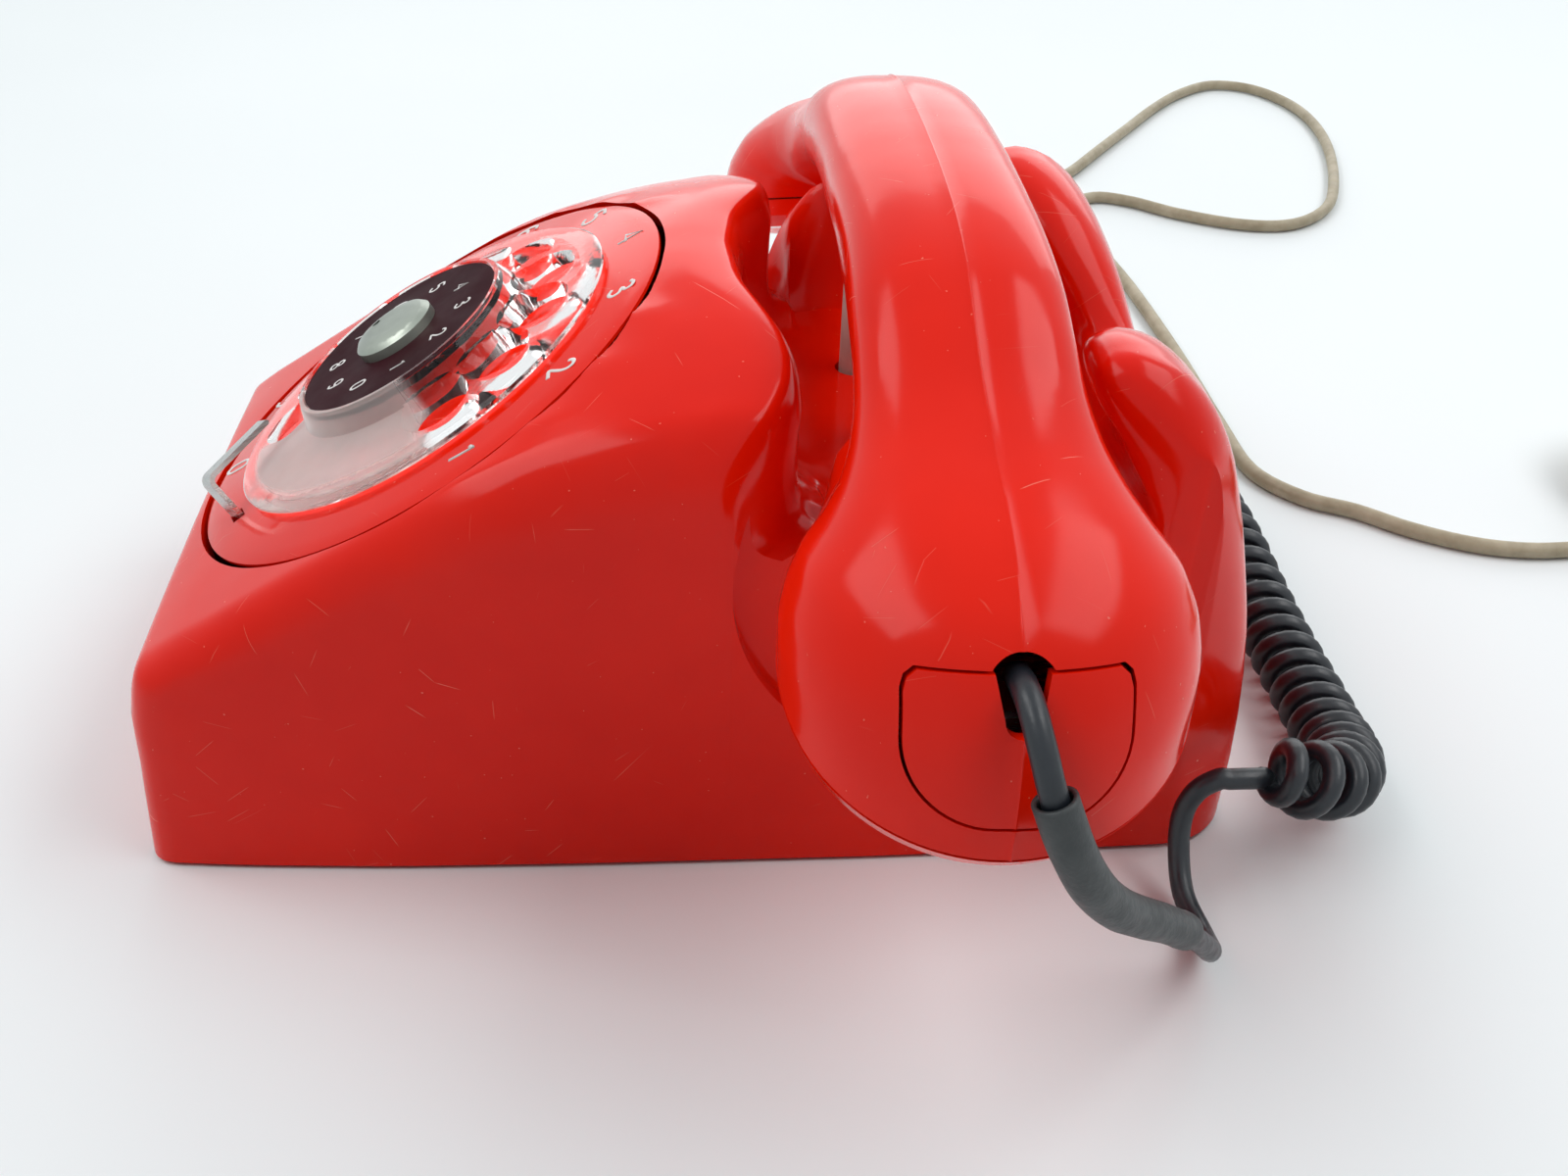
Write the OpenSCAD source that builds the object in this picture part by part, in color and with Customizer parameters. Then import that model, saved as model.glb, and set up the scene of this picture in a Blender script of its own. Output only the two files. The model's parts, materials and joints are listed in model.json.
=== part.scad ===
// Corded desk telephone with a rotary dial.
// +X is the user's right, +Y points to the back, +Z is up.
// The origin lies on the table under the middle of the body.

/* [Body] */
// Width of the body across the cradle
body_w = 120; // [100:1:150]
// Depth of the body from front foot to rear foot
body_d = 206; // [190:1:250]
// Height of the body at the ears
body_h = 100.6; // [96:0.1:125]
// Height of the lip above the front wall
lip_h = 44; // [36:0.5:52]
// Slope of the dial face
dial_tilt = 31.2; // [26:0.1:34]
// Wall thickness of the housing
wall = 3; // [2.4:0.1:3.4]
// Height of the housing rim above the table
rim_h = 1; // [0.6:0.1:2]
// Gap between neighbouring pieces that only lie side by side
seat_gap = 0.3; // [0.2:0.05:0.4]

/* [Dial] */
// Radius of the round opening for the dial
opening_r = 52.8; // [51:0.1:54]
// Radius of the number plate
plate_r = 51.6; // [49:0.1:52]
// Thickness of the number plate
plate_t = 2; // [1.5:0.1:2.4]
// Radius of the clear finger wheel
wheel_r = 41; // [38:0.5:43]
// Radius of the circle of finger hole centres
holes_r = 29.5; // [28:0.5:31]
// Radius of a finger hole
hole_r = 6.3; // [5.5:0.1:6.8]
// Angle between neighbouring finger holes
hole_pitch = 27.5; // [26:0.5:28]
// Angle of the first finger hole, counted from the right
hole_start = 17; // [10:1:20]
// Radius of the dark disc in the middle of the wheel
label_r = 21.5; // [19:0.5:22]
// Radius of the metal hub
hub_r = 8.2; // [7:0.1:9]
// Radius of the dial shaft
shaft_r = 3; // [2.5:0.1:3.5]
// Height of the finger stop above the number plate
stop_h = 10; // [8:0.5:12]

/* [Handset] */
// Length of the handset over both cups
handset_l = 239; // [225:1:250]
// Radius of a cup at its seam
cup_r = 31; // [29:0.5:32]
// Half the width of the handle
grip_w = 17; // [15:0.5:18]
// Wall thickness of the handset
handset_wall = 2.6; // [2:0.1:3]
// Thickness of an ear or mouth cap
cap_t = 6; // [5:0.5:7]

/* [Cords] */
// Diameter of both cords
cord_d = 4; // [3.5:0.1:4.5]
// Outer diameter of the curly cord
curl_d = 15; // [13:0.5:16]
// Length of the curly cord taken by one curl
curl_pitch = 6.2; // [6:0.1:6.6]
// Loops of line cord in the coil
coil_loops = 8; // [4:1:10]

/* [Bells] */
// Radius of a bell gong
gong_r = 21; // [18:0.5:22]
// Height of a bell gong
gong_h = 13; // [10:0.5:15]

/* [Hidden] */

red = "#c81e14";
clear = "#e6e6e2";
dark = "#2b2a2c";
brown = "#3a2226";
steel = "#b7bab8";
brass = "#c6a65a";
cream = "#d6cfbd";

// ---- places ----
front_y = -body_d / 2;
rear_y = body_d / 2;
cradle_y = rear_y - 63;
floor_z = body_h - 34.6;
dial_y = front_y + 51.2;
dial_z = lip_h + 47.1 * tan(dial_tilt) + 0.4;
handset_z = body_h - 100.6;
seat_z = rim_h + 1.2;
plate_top = seat_z + 1.6;

function lerp(a, b, t) = a + (b - a) * t;
function clamp(v, low, high) = min(high, max(low, v));
function unit(v) = v / norm(v);

// Stands children in the dial's own frame, with the dial face as the XY plane.
module on_dial() {
    translate([0, dial_y, dial_z]) rotate([dial_tilt, 0, 0]) children();
}

// ---- housing surface ----
// Half-widths of the lengthwise ribs that the surface is lofted through, on a 59 mm half-width.
RIBS = [0, 9, 15.5, 19, 30, 40, 46, 50, 53, 55.5, 57.7, 59];
RIB_END = 59;
GAP_EDGE = 17;
EAR_EDGE = 48;
INNER_SIDE = 4.6;
// How far the cradle's front edge stands in front of the middle of the cradle, over the half-width.
EDGE_SETBACK = [[0, 33.5], [15, 32], [22, 29.5], [30, 26.5], [36, 24.7], [43, 24.7], [48, 26.5],
    [53, 29.5], [57, 35.5], [59, 37]];
// Rear outlines as [distance behind the cradle's middle, height over the cradle's floor].
EAR = [[30, 0.5], [35.4, 3.5], [34.6, 8.5], [31, 15.5], [27.8, 21], [26.4, 27.5], [27.2, 32],
    [30.5, 34.5], [35, 33.6], [41, 28.5], [47, 20], [51.5, 8], [55.5, -6], [59, -21], [62, -51]];
GAP = [[30, 0.5], [34.5, 2], [36.5, 5], [38.5, 7], [40.5, 7.8], [42.5, 8], [44.5, 8], [46.5, 8],
    [48.3, 7.6], [49.8, 6], [51, 3], [52.5, -2], [55.5, -8], [59, -21], [62, -51]];
SIDE = [[28, 2], [33, 3.2], [35.5, 5.5], [36.6, 9], [37.2, 13], [37.8, 16.5], [38.6, 19],
    [40, 20.4], [41.6, 20], [43, 18], [44.4, 14], [45.6, 8], [46.6, -4], [47.2, -20], [47.8, -45]];
REAR_CORNER = 15;
FRONT_CORNER = 5;

// Half-width of the body over its depth.
function side_w(y) = body_w / 2 - lookup(y - front_y,
    [[0, 3.4], [18, 1.8], [45, 0.5], [80, 0], [135, 0], [185, 1], [206, 2]]);

// Height of the crowned top, which follows the dial face and falls away outside the dial.
function top_z(s, y) = let(
        v = (y - dial_y) / cos(dial_tilt),
        d = max(0, norm([s, v]) - opening_r),
        k = clamp((v + 10) / 40, 0.12, 1),
        across = clamp((s - 51) / 8, 0, 1),
        fillet = lookup(y - front_y, [[0, 5], [30, 12], [60, 14]]))
    min(dial_z + v * sin(dial_tilt) - k * (0.38 * d + 0.003 * d * d), body_h - 0.004 * s)
        - fillet * (1 - sqrt(1 - 0.98 * across * across));

// Height of the saddle that the handset's neck rests on, over the cradle's floor.
function saddle(s) = lookup(s, [[44, 0], [47, 14], [50, 26.3], [53, 24.9], [55.5, 23.6],
    [57.7, 22.3], [59, 20.5]]);

function corner_in(s, r) = let(over = max(0, s - (RIB_END - r))) r - sqrt(r * r - over * over);

// One lengthwise outline from the front rim over the top to the rear rim.
function outline(s, inner) = let(
        f = front_y + corner_in(s, FRONT_CORNER),
        lip = top_z(s, f + 6),
        edge_y = cradle_y - lookup(s, EDGE_SETBACK),
        edge_z = top_z(s, edge_y),
        bump = inner ? 0 : saddle(s),
        out = pow(clamp((s - EAR_EDGE) / (RIB_END - EAR_EDGE), 0, 1), 2.2),
        low = inner || s < GAP_EDGE,
        rear = [for (i = [0:len(EAR) - 1]) let(p = lerp(low ? GAP[i] : EAR[i], SIDE[i], out))
            [cradle_y + p[0], floor_z + (inner ? min(p[1], 8) : p[1])]])
    concat(
        [[f, rim_h], [f + 1.6, lip * 0.52], [f + 3.3, lip - 4.6], [f + 4.6, lip - 1.3]],
        [for (i = [0:11]) let(y = lerp(f + 7, edge_y - 5, i / 11)) [y, top_z(s, y)]],
        [[edge_y - 1.8, edge_z - 0.9], [edge_y, edge_z - 4],
         [edge_y + 0.4, lerp(edge_z - 4, floor_z, 0.5)],
         [edge_y + 1.6, lerp(edge_z - 4, floor_z, 0.85)], [edge_y + 6, floor_z + 0.6]],
        [for (p = [[-19, 0.1], [-12, 1], [-4, 1], [4, 1], [12, 1], [19, 0.1]])
            [cradle_y + p[0], floor_z + bump * p[1]]],
        rear,
        [[rear_y - corner_in(s, REAR_CORNER), rim_h]]);

// The outline moved into the wall by the wall thickness.
function inset(p, t) = [for (i = [0:len(p) - 1])
    let(a = p[max(i - 1, 0)], b = p[i], c = p[min(i + 1, len(p) - 1)],
        u = i == 0 ? unit(c - b) : unit(b - a),
        w = i == len(p) - 1 ? u : unit(c - b),
        n = unit([u[1] + w[1], -u[0] - w[0]]),
        reach = t / max(0.55, n * [u[1], -u[0]]))
    [b[0] + n[0] * reach, i == 0 || i == len(p) - 1 ? rim_h : b[1] + n[1] * reach]];

// All outlines from left to right as rows of points.
function skin(inner) = let(n = len(RIBS) - 1, k = inner ? 1 - INNER_SIDE / RIB_END : 1)
    [for (j = [-n:n]) let(s = RIBS[abs(j)], o = outline(s, inner), p = inner ? inset(o, wall) : o)
        [for (q = p) [sign(j) * s * k * side_w(q[0]) / RIB_END, q[0], q[1]]]];

// Row-by-row triangles between two neighbouring rows of n points.
function band(a, b, n, flip) = [for (i = [0:n - 2]) each flip
    ? [[a + i, a + i + 1, b + i + 1], [a + i, b + i + 1, b + i]]
    : [[a + i, b + i + 1, a + i + 1], [a + i, b + i, b + i + 1]]];

// A side wall from an outline down to its foot points, which share its two ends.
function curtain(top, foot, n, flip) = [for (i = [0:n - 2]) each let(
        a = top + i, b = top + i + 1,
        c = i == n - 2 ? b : foot + i, d = i == 0 ? a : foot + i - 1,
        t = concat(d == a ? [] : [[a, c, d]], c == b ? [] : [[a, b, c]]))
    flip ? [for (f = t) [f[0], f[2], f[1]]] : t];

module housing_shell() {
    outer = skin(false);
    inner = skin(true);
    n = len(outer[0]);
    m = len(outer);
    foot_n = n - 2;
    feet = function(rows, j) [for (i = [1:foot_n]) [rows[j][i][0], rows[j][i][1], rim_h]];
    out_pts = concat([for (r = outer) each r], feet(outer, 0), feet(outer, m - 1));
    in_pts = concat([for (r = inner) each r], feet(inner, 0), feet(inner, m - 1));
    base = len(out_pts);
    left = m * n;
    right = left + foot_n;
    rim = concat([for (j = [0:m - 1]) j * n], [for (i = [0:foot_n - 1]) right + i],
        [for (j = [m - 1:-1:0]) j * n + n - 1], [for (i = [foot_n - 1:-1:0]) left + i]);
    k = len(rim);
    polyhedron(concat(out_pts, in_pts), concat(
        [for (j = [0:m - 2]) each band(j * n, (j + 1) * n, n, false)],
        curtain(0, left, n, false), curtain((m - 1) * n, right, n, true),
        [for (j = [0:m - 2]) each band(base + j * n, base + (j + 1) * n, n, true)],
        curtain(base, base + left, n, true), curtain(base + (m - 1) * n, base + right, n, false),
        [for (i = [0:k - 1]) each let(a = rim[i], b = rim[(i + 1) % k])
            [[a, b, base + b], [a, base + b, base + a]]]));
}

scoop_r = 36;
scoop_z = floor_z - 4;
scoop_depth = 3;
plunger_x = 15;
plunger_y = cradle_y - 8;
plunger_r = 3;
hole_slack = 0.8;
line_exit_x = -40;
handset_exit_y = 72;
exit_z = 9;
grommet_r = 3.6;
screw_at = [[47, front_y + 13], [45, rear_y - 14]];
boss_r = 4;
boss_top = [dial_z + (screw_at[0][1] - dial_y) * tan(dial_tilt) - 2, floor_z + 6.5];
screw_r = 1.5;

// Puts children at the four screws that hold the base plate.
module at_screws() {
    for (x = [-1, 1], p = screw_at) translate([x * p[0], p[1], 0]) children();
}

// The moulded housing: dial face, cradle and ears in one shell.
module housing() {
    color(red) difference() {
        union() {
            housing_shell();
            for (x = [-1, 1], i = [0, 1]) translate([x * screw_at[i][0], screw_at[i][1], plate_top])
                cylinder(r = boss_r, h = boss_top[i] - plate_top, $fn = 32);
        }
        on_dial() translate([0, 0, -9]) cylinder(r = opening_r, h = 20, $fn = 96);
        for (x = [-plunger_x, plunger_x]) translate([x, plunger_y, floor_z - 9])
            cylinder(r = plunger_r + hole_slack, h = 14, $fn = 32);
        for (m = [0, 1]) mirror([m, 0, 0])
            translate([body_w / 2 - scoop_depth, cradle_y, scoop_z]) rotate([0, 90, 0])
                cylinder(r = scoop_r, h = 10, $fn = 72);
        translate([line_exit_x, rear_y - 12, exit_z]) rotate([-90, 0, 0])
            cylinder(r = grommet_r, h = 20, $fn = 32);
        translate([-body_w / 2 + 12, handset_exit_y, exit_z]) rotate([0, -90, 0])
            cylinder(r = grommet_r, h = 20, $fn = 32);
        at_screws() translate([0, 0, plate_top - 1]) cylinder(r = screw_r, h = 12, $fn = 24);
    }
}

// ---- base ----
function base_x(y) = side_w(y) * (1 - INNER_SIDE / RIB_END) - seat_gap - 0.7;

module base_outline(grow = 0) {
    f = front_y + wall + 1;
    b = rear_y - wall - 1;
    c = REAR_CORNER - 2;
    ys = [f + FRONT_CORNER, front_y + 45, front_y + 80, cradle_y, b - c];
    half = concat([[base_x(f) - FRONT_CORNER, f]], [for (y = ys) [base_x(y), y]],
        [for (a = [15:15:90]) [base_x(b - c) - c * (1 - cos(a)), b - c + c * sin(a)]]);
    polygon(concat([for (p = half) [p[0] + grow, p[1]]],
        [for (i = [len(half) - 1:-1:0]) [-half[i][0] - grow, half[i][1]]]));
}

foot_x = 43;
foot_y = [front_y + 28, rear_y - 34];
foot_r = 7;

module base_plate() {
    color("dimgray") difference() {
        translate([0, 0, seat_z]) linear_extrude(plate_top - seat_z) base_outline();
        for (x = [-foot_x, foot_x], y = foot_y) translate([x, y, 0])
            cylinder(r = 2.2, h = 10, $fn = 24);
        at_screws() cylinder(r = screw_r + 0.3, h = 10, $fn = 24);
        for (x = [-27:9:27]) translate([x - 2, -2, 0]) cube([4, 22, 10]);
    }
}

module rubber_feet() {
    color(dark) for (x = [-foot_x, foot_x], y = foot_y) translate([x, y, 0]) rotate_extrude($fn = 48)
        polygon([[0, 0], [foot_r - 1, 0], [foot_r, 1], [foot_r, seat_z], [2, seat_z],
            [2, plate_top + 0.2], [2.8, plate_top + 0.2], [2, plate_top + 1.6], [0, plate_top + 1.6]]);
}

module base_screws() {
    color(steel) at_screws() difference() {
        union() {
            translate([0, 0, rim_h]) cylinder(r = 3.2, h = seat_z - rim_h, $fn = 32);
            translate([0, 0, rim_h]) cylinder(r = screw_r - 0.05, h = 10, $fn = 24);
        }
        translate([-4, -0.4, 0]) cube([8, 0.8, rim_h + 0.6]);
    }
}

// ---- dial ----
plate_face = 0.6;
wheel_low = plate_face + 0.6;
collar_h = 9.2;
label_h = 8;
shaft_low = -27;
bearing_gap = 0.04;
frame_h = -9;
frame_t = 1.6;
frame_r = 38;

module number_plate() {
    color(red) on_dial() difference() {
        rotate_extrude($fn = 120) polygon([[shaft_r + 1, plate_face - plate_t],
            [plate_r - 1.4, plate_face - plate_t], [plate_r, -1], [plate_r, -0.4],
            [plate_r - 2.8, plate_face], [shaft_r + 1, plate_face]]);
        for (a = [30, 150, 270]) rotate(a) translate([34, 0, -9]) cylinder(r = 1.3, h = 8.4, $fn = 24);
        rotate(stop_angle) translate([stop_r, 0, -4]) translate([-1.3, -2, 0]) cube([2.6, 4, 9]);
    }
}

module finger_wheel() {
    color(clear, 0.5) on_dial() difference() {
        rotate_extrude($fn = 120) polygon([[shaft_r + 0.02, wheel_low], [wheel_r - 0.6, wheel_low],
            [wheel_r, wheel_low + 0.6], [wheel_r, wheel_low + 1.2], [wheel_r - 1.2, wheel_low + 2],
            [holes_r, wheel_low + 2.9], [label_r + 3, wheel_low + 3.8], [label_r + 1.6, collar_h - 1],
            [label_r + 1.1, collar_h], [label_r + 0.3, collar_h], [label_r + 0.3, label_h],
            [shaft_r + 0.02, label_h]]);
        rotate_extrude($fn = 96) polygon([[shaft_r + 4, 0], [label_r - 1, 0],
            [label_r - 1, label_h - 1.8], [shaft_r + 4, label_h - 1.8]]);
        for (i = [0:9]) rotate(hole_start + i * hole_pitch) translate([holes_r, 0, 0]) {
            cylinder(r = hole_r - 0.4, h = 20, $fn = 40);
            translate([0, 0, wheel_low + 0.8]) cylinder(r1 = hole_r - 0.4, r2 = hole_r + 1.4, h = 3.4,
                $fn = 40);
        }
    }
}

module label_disc() {
    color(brown) on_dial() translate([0, 0, label_h]) difference() {
        cylinder(r = label_r, h = 0.9, $fn = 96);
        translate([0, 0, -1]) cylinder(r = shaft_r + 0.2, h = 4, $fn = 40);
    }
}

module hub_cap() {
    color("#8d9487") on_dial() difference() {
        rotate_extrude($fn = 72) polygon([[0, label_h + 0.9], [hub_r, label_h + 0.9],
            [hub_r, label_h + 2.6], [hub_r - 0.8, label_h + 3.4], [hub_r - 3, label_h + 3.9],
            [0, label_h + 4]]);
        translate([0, 0, label_h - 1]) cylinder(r = shaft_r + 0.01, h = 3.4, $fn = 40);
        rotate(-134) translate([4.9, 0, label_h + 2.8]) cylinder(r = 0.9, h = 4, $fn = 24);
    }
}

module dial_shaft() {
    color(steel) on_dial() translate([0, 0, shaft_low])
        cylinder(r = shaft_r, h = label_h + 2.3 - shaft_low, $fn = 48);
}

stop_angle = -65;
stop_r = wheel_r + 3.4;
stop_tip_angle = -80;
stop_tip_r = 31;
strip_t = 1;
strip_w = 2.8;

// A bent steel strip whose arm reaches over the wheel just before the last finger hole.
module finger_stop() {
    tip = stop_tip_r * [cos(stop_tip_angle), sin(stop_tip_angle)];
    foot = stop_r * [cos(stop_angle), sin(stop_angle)];
    reach = norm(tip - foot);
    way = tip - foot;
    color(steel) on_dial() translate([foot[0], foot[1], 0]) rotate(atan2(way[1], way[0]))
        translate([0, strip_w / 2, 0]) rotate([90, 0, 0]) linear_extrude(strip_w) polygon(concat(
            [[-strip_t / 2, frame_h + frame_t + 0.2]],
            [for (a = [180:-15:90]) [1.5 + 2 * cos(a), stop_h - 2 + 2 * sin(a)]],
            [[reach, stop_h - 0.4], [reach + 0.5, stop_h - 0.9], [reach, stop_h - 1.4]],
            [for (a = [90:15:180]) [1.5 + cos(a), stop_h - 2 + cos(a - 90)]],
            [[strip_t / 2, frame_h + frame_t + 0.2]]));
}

cheek_x = 30;
cheek_t = 1.6;

module dial_frame() {
    color(steel) on_dial() difference() {
        union() {
            translate([0, 0, frame_h]) cylinder(r = frame_r, h = frame_t, $fn = 96);
            translate([0, 0, frame_h - 4]) cylinder(r = shaft_r + 3, h = 4, $fn = 48);
            rotate(stop_angle) translate([frame_r - 3, -5, frame_h]) cube([12, 10, frame_t]);
            rotate(pinion_angle) translate([frame_r - 12, -governor_len / 2, frame_h])
                cube([18, governor_len, frame_t]);
        }
        translate([0, 0, frame_h - 9]) cylinder(r = shaft_r + bearing_gap, h = 20, $fn = 48);
        rotate(pinion_angle) translate([pinion_r, 0, frame_h - 5])
            cylinder(r = 1.2 + bearing_gap, h = 10, $fn = 32);
    }
}

module dial_pillars() {
    color(brass) on_dial() for (a = [30, 150, 270]) rotate(a) translate([34, 0, 0]) {
        translate([0, 0, frame_h + frame_t])
            cylinder(r = 3, h = plate_face - plate_t - frame_h - frame_t, $fn = 32);
        translate([0, 0, plate_face - plate_t - 0.5]) cylinder(r = 1.2, h = 1.1, $fn = 24);
    }
}

// Two upright cheeks that carry the dial frame on the base plate.
module dial_brackets() {
    low = dial_z - 26 * sin(dial_tilt) + frame_h * cos(dial_tilt);
    y0 = dial_y - 26 * cos(dial_tilt) - frame_h * sin(dial_tilt);
    y1 = dial_y + 26 * cos(dial_tilt) - frame_h * sin(dial_tilt);
    high = low + 52 * sin(dial_tilt);
    color(steel) for (m = [0, 1]) mirror([m, 0, 0]) {
        translate([cheek_x + cheek_t, 0, 0]) rotate([0, -90, 0]) linear_extrude(cheek_t) difference() {
            polygon([[plate_top, y0 + 2], [low - 0.02, y0], [high - 0.02, y1], [high - 8, y1],
                [plate_top, y1 - 12]]);
            translate([lerp(plate_top, low, 0.5), lerp(y0, y1, 0.32)]) circle(r = 8, $fn = 40);
            translate([lerp(plate_top, high, 0.5), lerp(y0, y1, 0.68)]) circle(r = 9, $fn = 40);
        }
        translate([cheek_x - 8, y0 + 2, plate_top]) cube([8, y1 - y0 - 14, cheek_t]);
    }
}

// ---- dial gear train ----
gear_teeth = 60;
gear_module = 0.8;
pinion_teeth = 12;
gear_r = gear_teeth * gear_module / 2;
pinion_pitch_r = pinion_teeth * gear_module / 2;
mesh_gap = 0.35;
pinion_r = gear_r + pinion_pitch_r + mesh_gap;
pinion_angle = 90;
gear_h = -18;
gear_t = 2.4;

// A spur gear outline with flat-topped teeth, thinned for backlash.
module gear_outline(teeth, pitch_r) {
    step = 360 / teeth;
    tip = pitch_r + 0.85 * gear_module;
    root = pitch_r - 1.1 * gear_module;
    polygon([for (i = [0:teeth - 1], p = [[-0.36, root], [-0.13, tip], [0.13, tip], [0.36, root]])
        p[1] * [cos((i + p[0]) * step), sin((i + p[0]) * step)]]);
}

module drive_gear() {
    color(brass) on_dial() translate([0, 0, gear_h]) difference() {
        union() {
            linear_extrude(gear_t) rotate(pinion_angle) gear_outline(gear_teeth, gear_r);
            cylinder(r = shaft_r + 3, h = gear_t + 2, $fn = 40);
        }
        translate([0, 0, -1]) cylinder(r = shaft_r + 0.01, h = 9, $fn = 48);
        for (a = [0:72:359]) rotate(a) translate([13, 0, -1]) cylinder(r = 4.5, h = 9, $fn = 32);
    }
}

spring_turns = 5;
spring_low = -26.5;

// A flat spiral spring between the shaft and its outer post on the frame.
module main_spring() {
    steps = spring_turns * 20;
    inner_r = shaft_r + 0.15;
    outer_r = 17;
    path = [for (i = [0:steps]) let(a = i * 18, r = lerp(inner_r + 0.6, outer_r, i / steps))
        [r, a]];
    color(steel) on_dial() {
        translate([0, 0, spring_low]) linear_extrude(4) polygon(concat(
            [for (p = path) (p[0] + 0.3) * [cos(p[1]), sin(p[1])]],
            [for (i = [steps:-1:0]) (path[i][0] - 0.3) * [cos(path[i][1]), sin(path[i][1])]]));
        translate([outer_r + 1.6, 0, spring_low]) cylinder(r = 1.4, h = 4, $fn = 24);
    }
}

worm_teeth = 20;
worm_wheel_r = 8;
governor_h = -14;
governor_off = worm_wheel_r + 2.6;

module pinion_shaft() {
    color(brass) on_dial() rotate(pinion_angle) translate([pinion_r, 0, 0]) {
        translate([0, 0, frame_h - 14]) cylinder(r = 1.2, h = 14 + frame_t, $fn = 32);
        translate([0, 0, gear_h - 0.4]) linear_extrude(gear_t + 0.8)
            rotate(180 + 180 / pinion_teeth) gear_outline(pinion_teeth, pinion_pitch_r);
        translate([0, 0, governor_h - 0.8]) linear_extrude(1.8) polygon([for (i = [0:worm_teeth - 1],
            p = [[-0.3, worm_wheel_r - 1], [0, worm_wheel_r], [0.3, worm_wheel_r - 1]])
            p[1] * [cos((i + p[0]) * 18), sin((i + p[0]) * 18)]]);
    }
}

// A three-lobed cam below the pinion that opens the pulse contacts.
module pulse_cam() {
    color(dark) on_dial() rotate(pinion_angle) translate([pinion_r, 0, frame_h - 13.4])
        linear_extrude(2) difference() {
            polygon([for (a = [0:6:354]) (4.2 + 0.9 * cos(3 * a)) * [cos(a), sin(a)]]);
            circle(r = 1.21, $fn = 32);
        }
}

governor_len = 34;
governor_mid = 8;

module on_governor() {
    on_dial() rotate(pinion_angle) translate([pinion_r + governor_off, 0, governor_h]) rotate([90, 0, 0])
        children();
}

// The fast shaft with two fly weights on a cross arm.
module governor() {
    color(steel) on_governor() {
        translate([0, 0, -governor_len / 2]) cylinder(r = 1, h = governor_len, $fn = 32);
        translate([0, 0, -4]) cylinder(r = 1.9, h = 8, $fn = 32);
        translate([0, 0, governor_mid]) cylinder(r = 2.4, h = 3, $fn = 32);
        translate([-3.2, -0.6, governor_mid + 0.5]) cube([6.4, 1.2, 2]);
        for (m = [0, 1]) mirror([m, 0, 0]) translate([2.4, 0, governor_mid + 1.5])
            rotate([90, 0, 0]) translate([0, 0, -1.2]) cylinder(r = 1.2, h = 2.4, $fn = 24);
    }
}

// The brake cup that the weights drag in, with the two bearings of the fast shaft.
module governor_cup() {
    color(brass) on_governor() difference() {
        union() {
            translate([0, 0, governor_mid - 0.6]) cylinder(r = 4.9, h = 5.6, $fn = 48);
            translate([0, 0, governor_mid + 5]) cylinder(r = 2.6, h = 4, $fn = 32);
            translate([-2.6, -2.6, -governor_len / 2]) cube([5.2, 5.2, 2]);
            for (z = [-governor_len / 2, governor_mid + 5]) translate([-2.6, 0, z])
                cube([5.2, frame_h - governor_h, 2]);
        }
        translate([0, 0, -20]) cylinder(r = 1 + bearing_gap, h = 45, $fn = 32);
        translate([0, 0, governor_mid - 1]) cylinder(r = 4.4, h = 5, $fn = 48);
    }
}

// Two leaf springs with contact rivets beside the cam, on a block under the frame.
module pulse_contacts() {
    side = pinion_r + 5.8;
    color(brass) on_dial() rotate(pinion_angle) {
        for (i = [0, 1]) {
            translate([side + i * 1.7, -2, frame_h - 13]) cube([0.4, 22, 1.4]);
            translate([side + i * 0.8, -1, frame_h - 12.3]) rotate([0, 90, 0])
                cylinder(r = 0.5, h = 0.4, $fn = 16);
        }
        translate([side - 1.5, 16, frame_h - 13.6]) cube([1.5, 5, 13.6]);
        translate([side + 0.4, 16, frame_h - 13.6]) cube([1.3, 5, 2.6]);
        translate([side + 2.1, 16, frame_h - 13.6]) cube([1.6, 5, 2.6]);
    }
}

// ---- hook switch ----
plunger_top = 98.2 + handset_z;
guide_z = floor_z - wall - 0.4;
yoke_z = guide_z - 16;

module hook_yoke() {
    color(clear) {
        for (x = [-plunger_x, plunger_x]) translate([x, plunger_y, yoke_z]) {
            cylinder(r = plunger_r, h = plunger_top - yoke_z - 1.5, $fn = 40);
            translate([0, 0, plunger_top - yoke_z - 1.5])
                cylinder(r1 = plunger_r, r2 = plunger_r - 1.2, h = 1.5, $fn = 40);
        }
        translate([-plunger_x, plunger_y - 2, yoke_z]) cube([2 * plunger_x, 4, 3]);
    }
}

guide_w = plunger_x + 8;

// The guide under the cradle's floor that the two plungers slide in, on two legs.
module hook_guide() {
    color(steel) {
        difference() {
            translate([-guide_w, plunger_y - 6, guide_z - 2]) cube([2 * guide_w, 16, 2]);
            for (x = [-plunger_x, plunger_x]) translate([x, plunger_y, guide_z - 5])
                cylinder(r = plunger_r + 0.05, h = 9, $fn = 40);
        }
        difference() {
            for (x = [-guide_w, guide_w - 1.6]) translate([x, plunger_y - 6, plate_top])
                cube([1.6, 16, guide_z - 2 - plate_top]);
            translate([-guide_w - 1, lever_y, lever_z]) rotate([0, 90, 0])
                cylinder(r = 1 + bearing_gap, h = 2 * guide_w + 2, $fn = 32);
        }
        translate([-guide_w, plunger_y - 4, spring_seat - 1.6]) cube([guide_w - 4, 8, 1.6]);
    }
}

lever_y = plunger_y + 6;
lever_z = yoke_z - 1.2;
lever_x = 14;
spring_x = -8;
spring_seat = yoke_z - 7.5;

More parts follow.
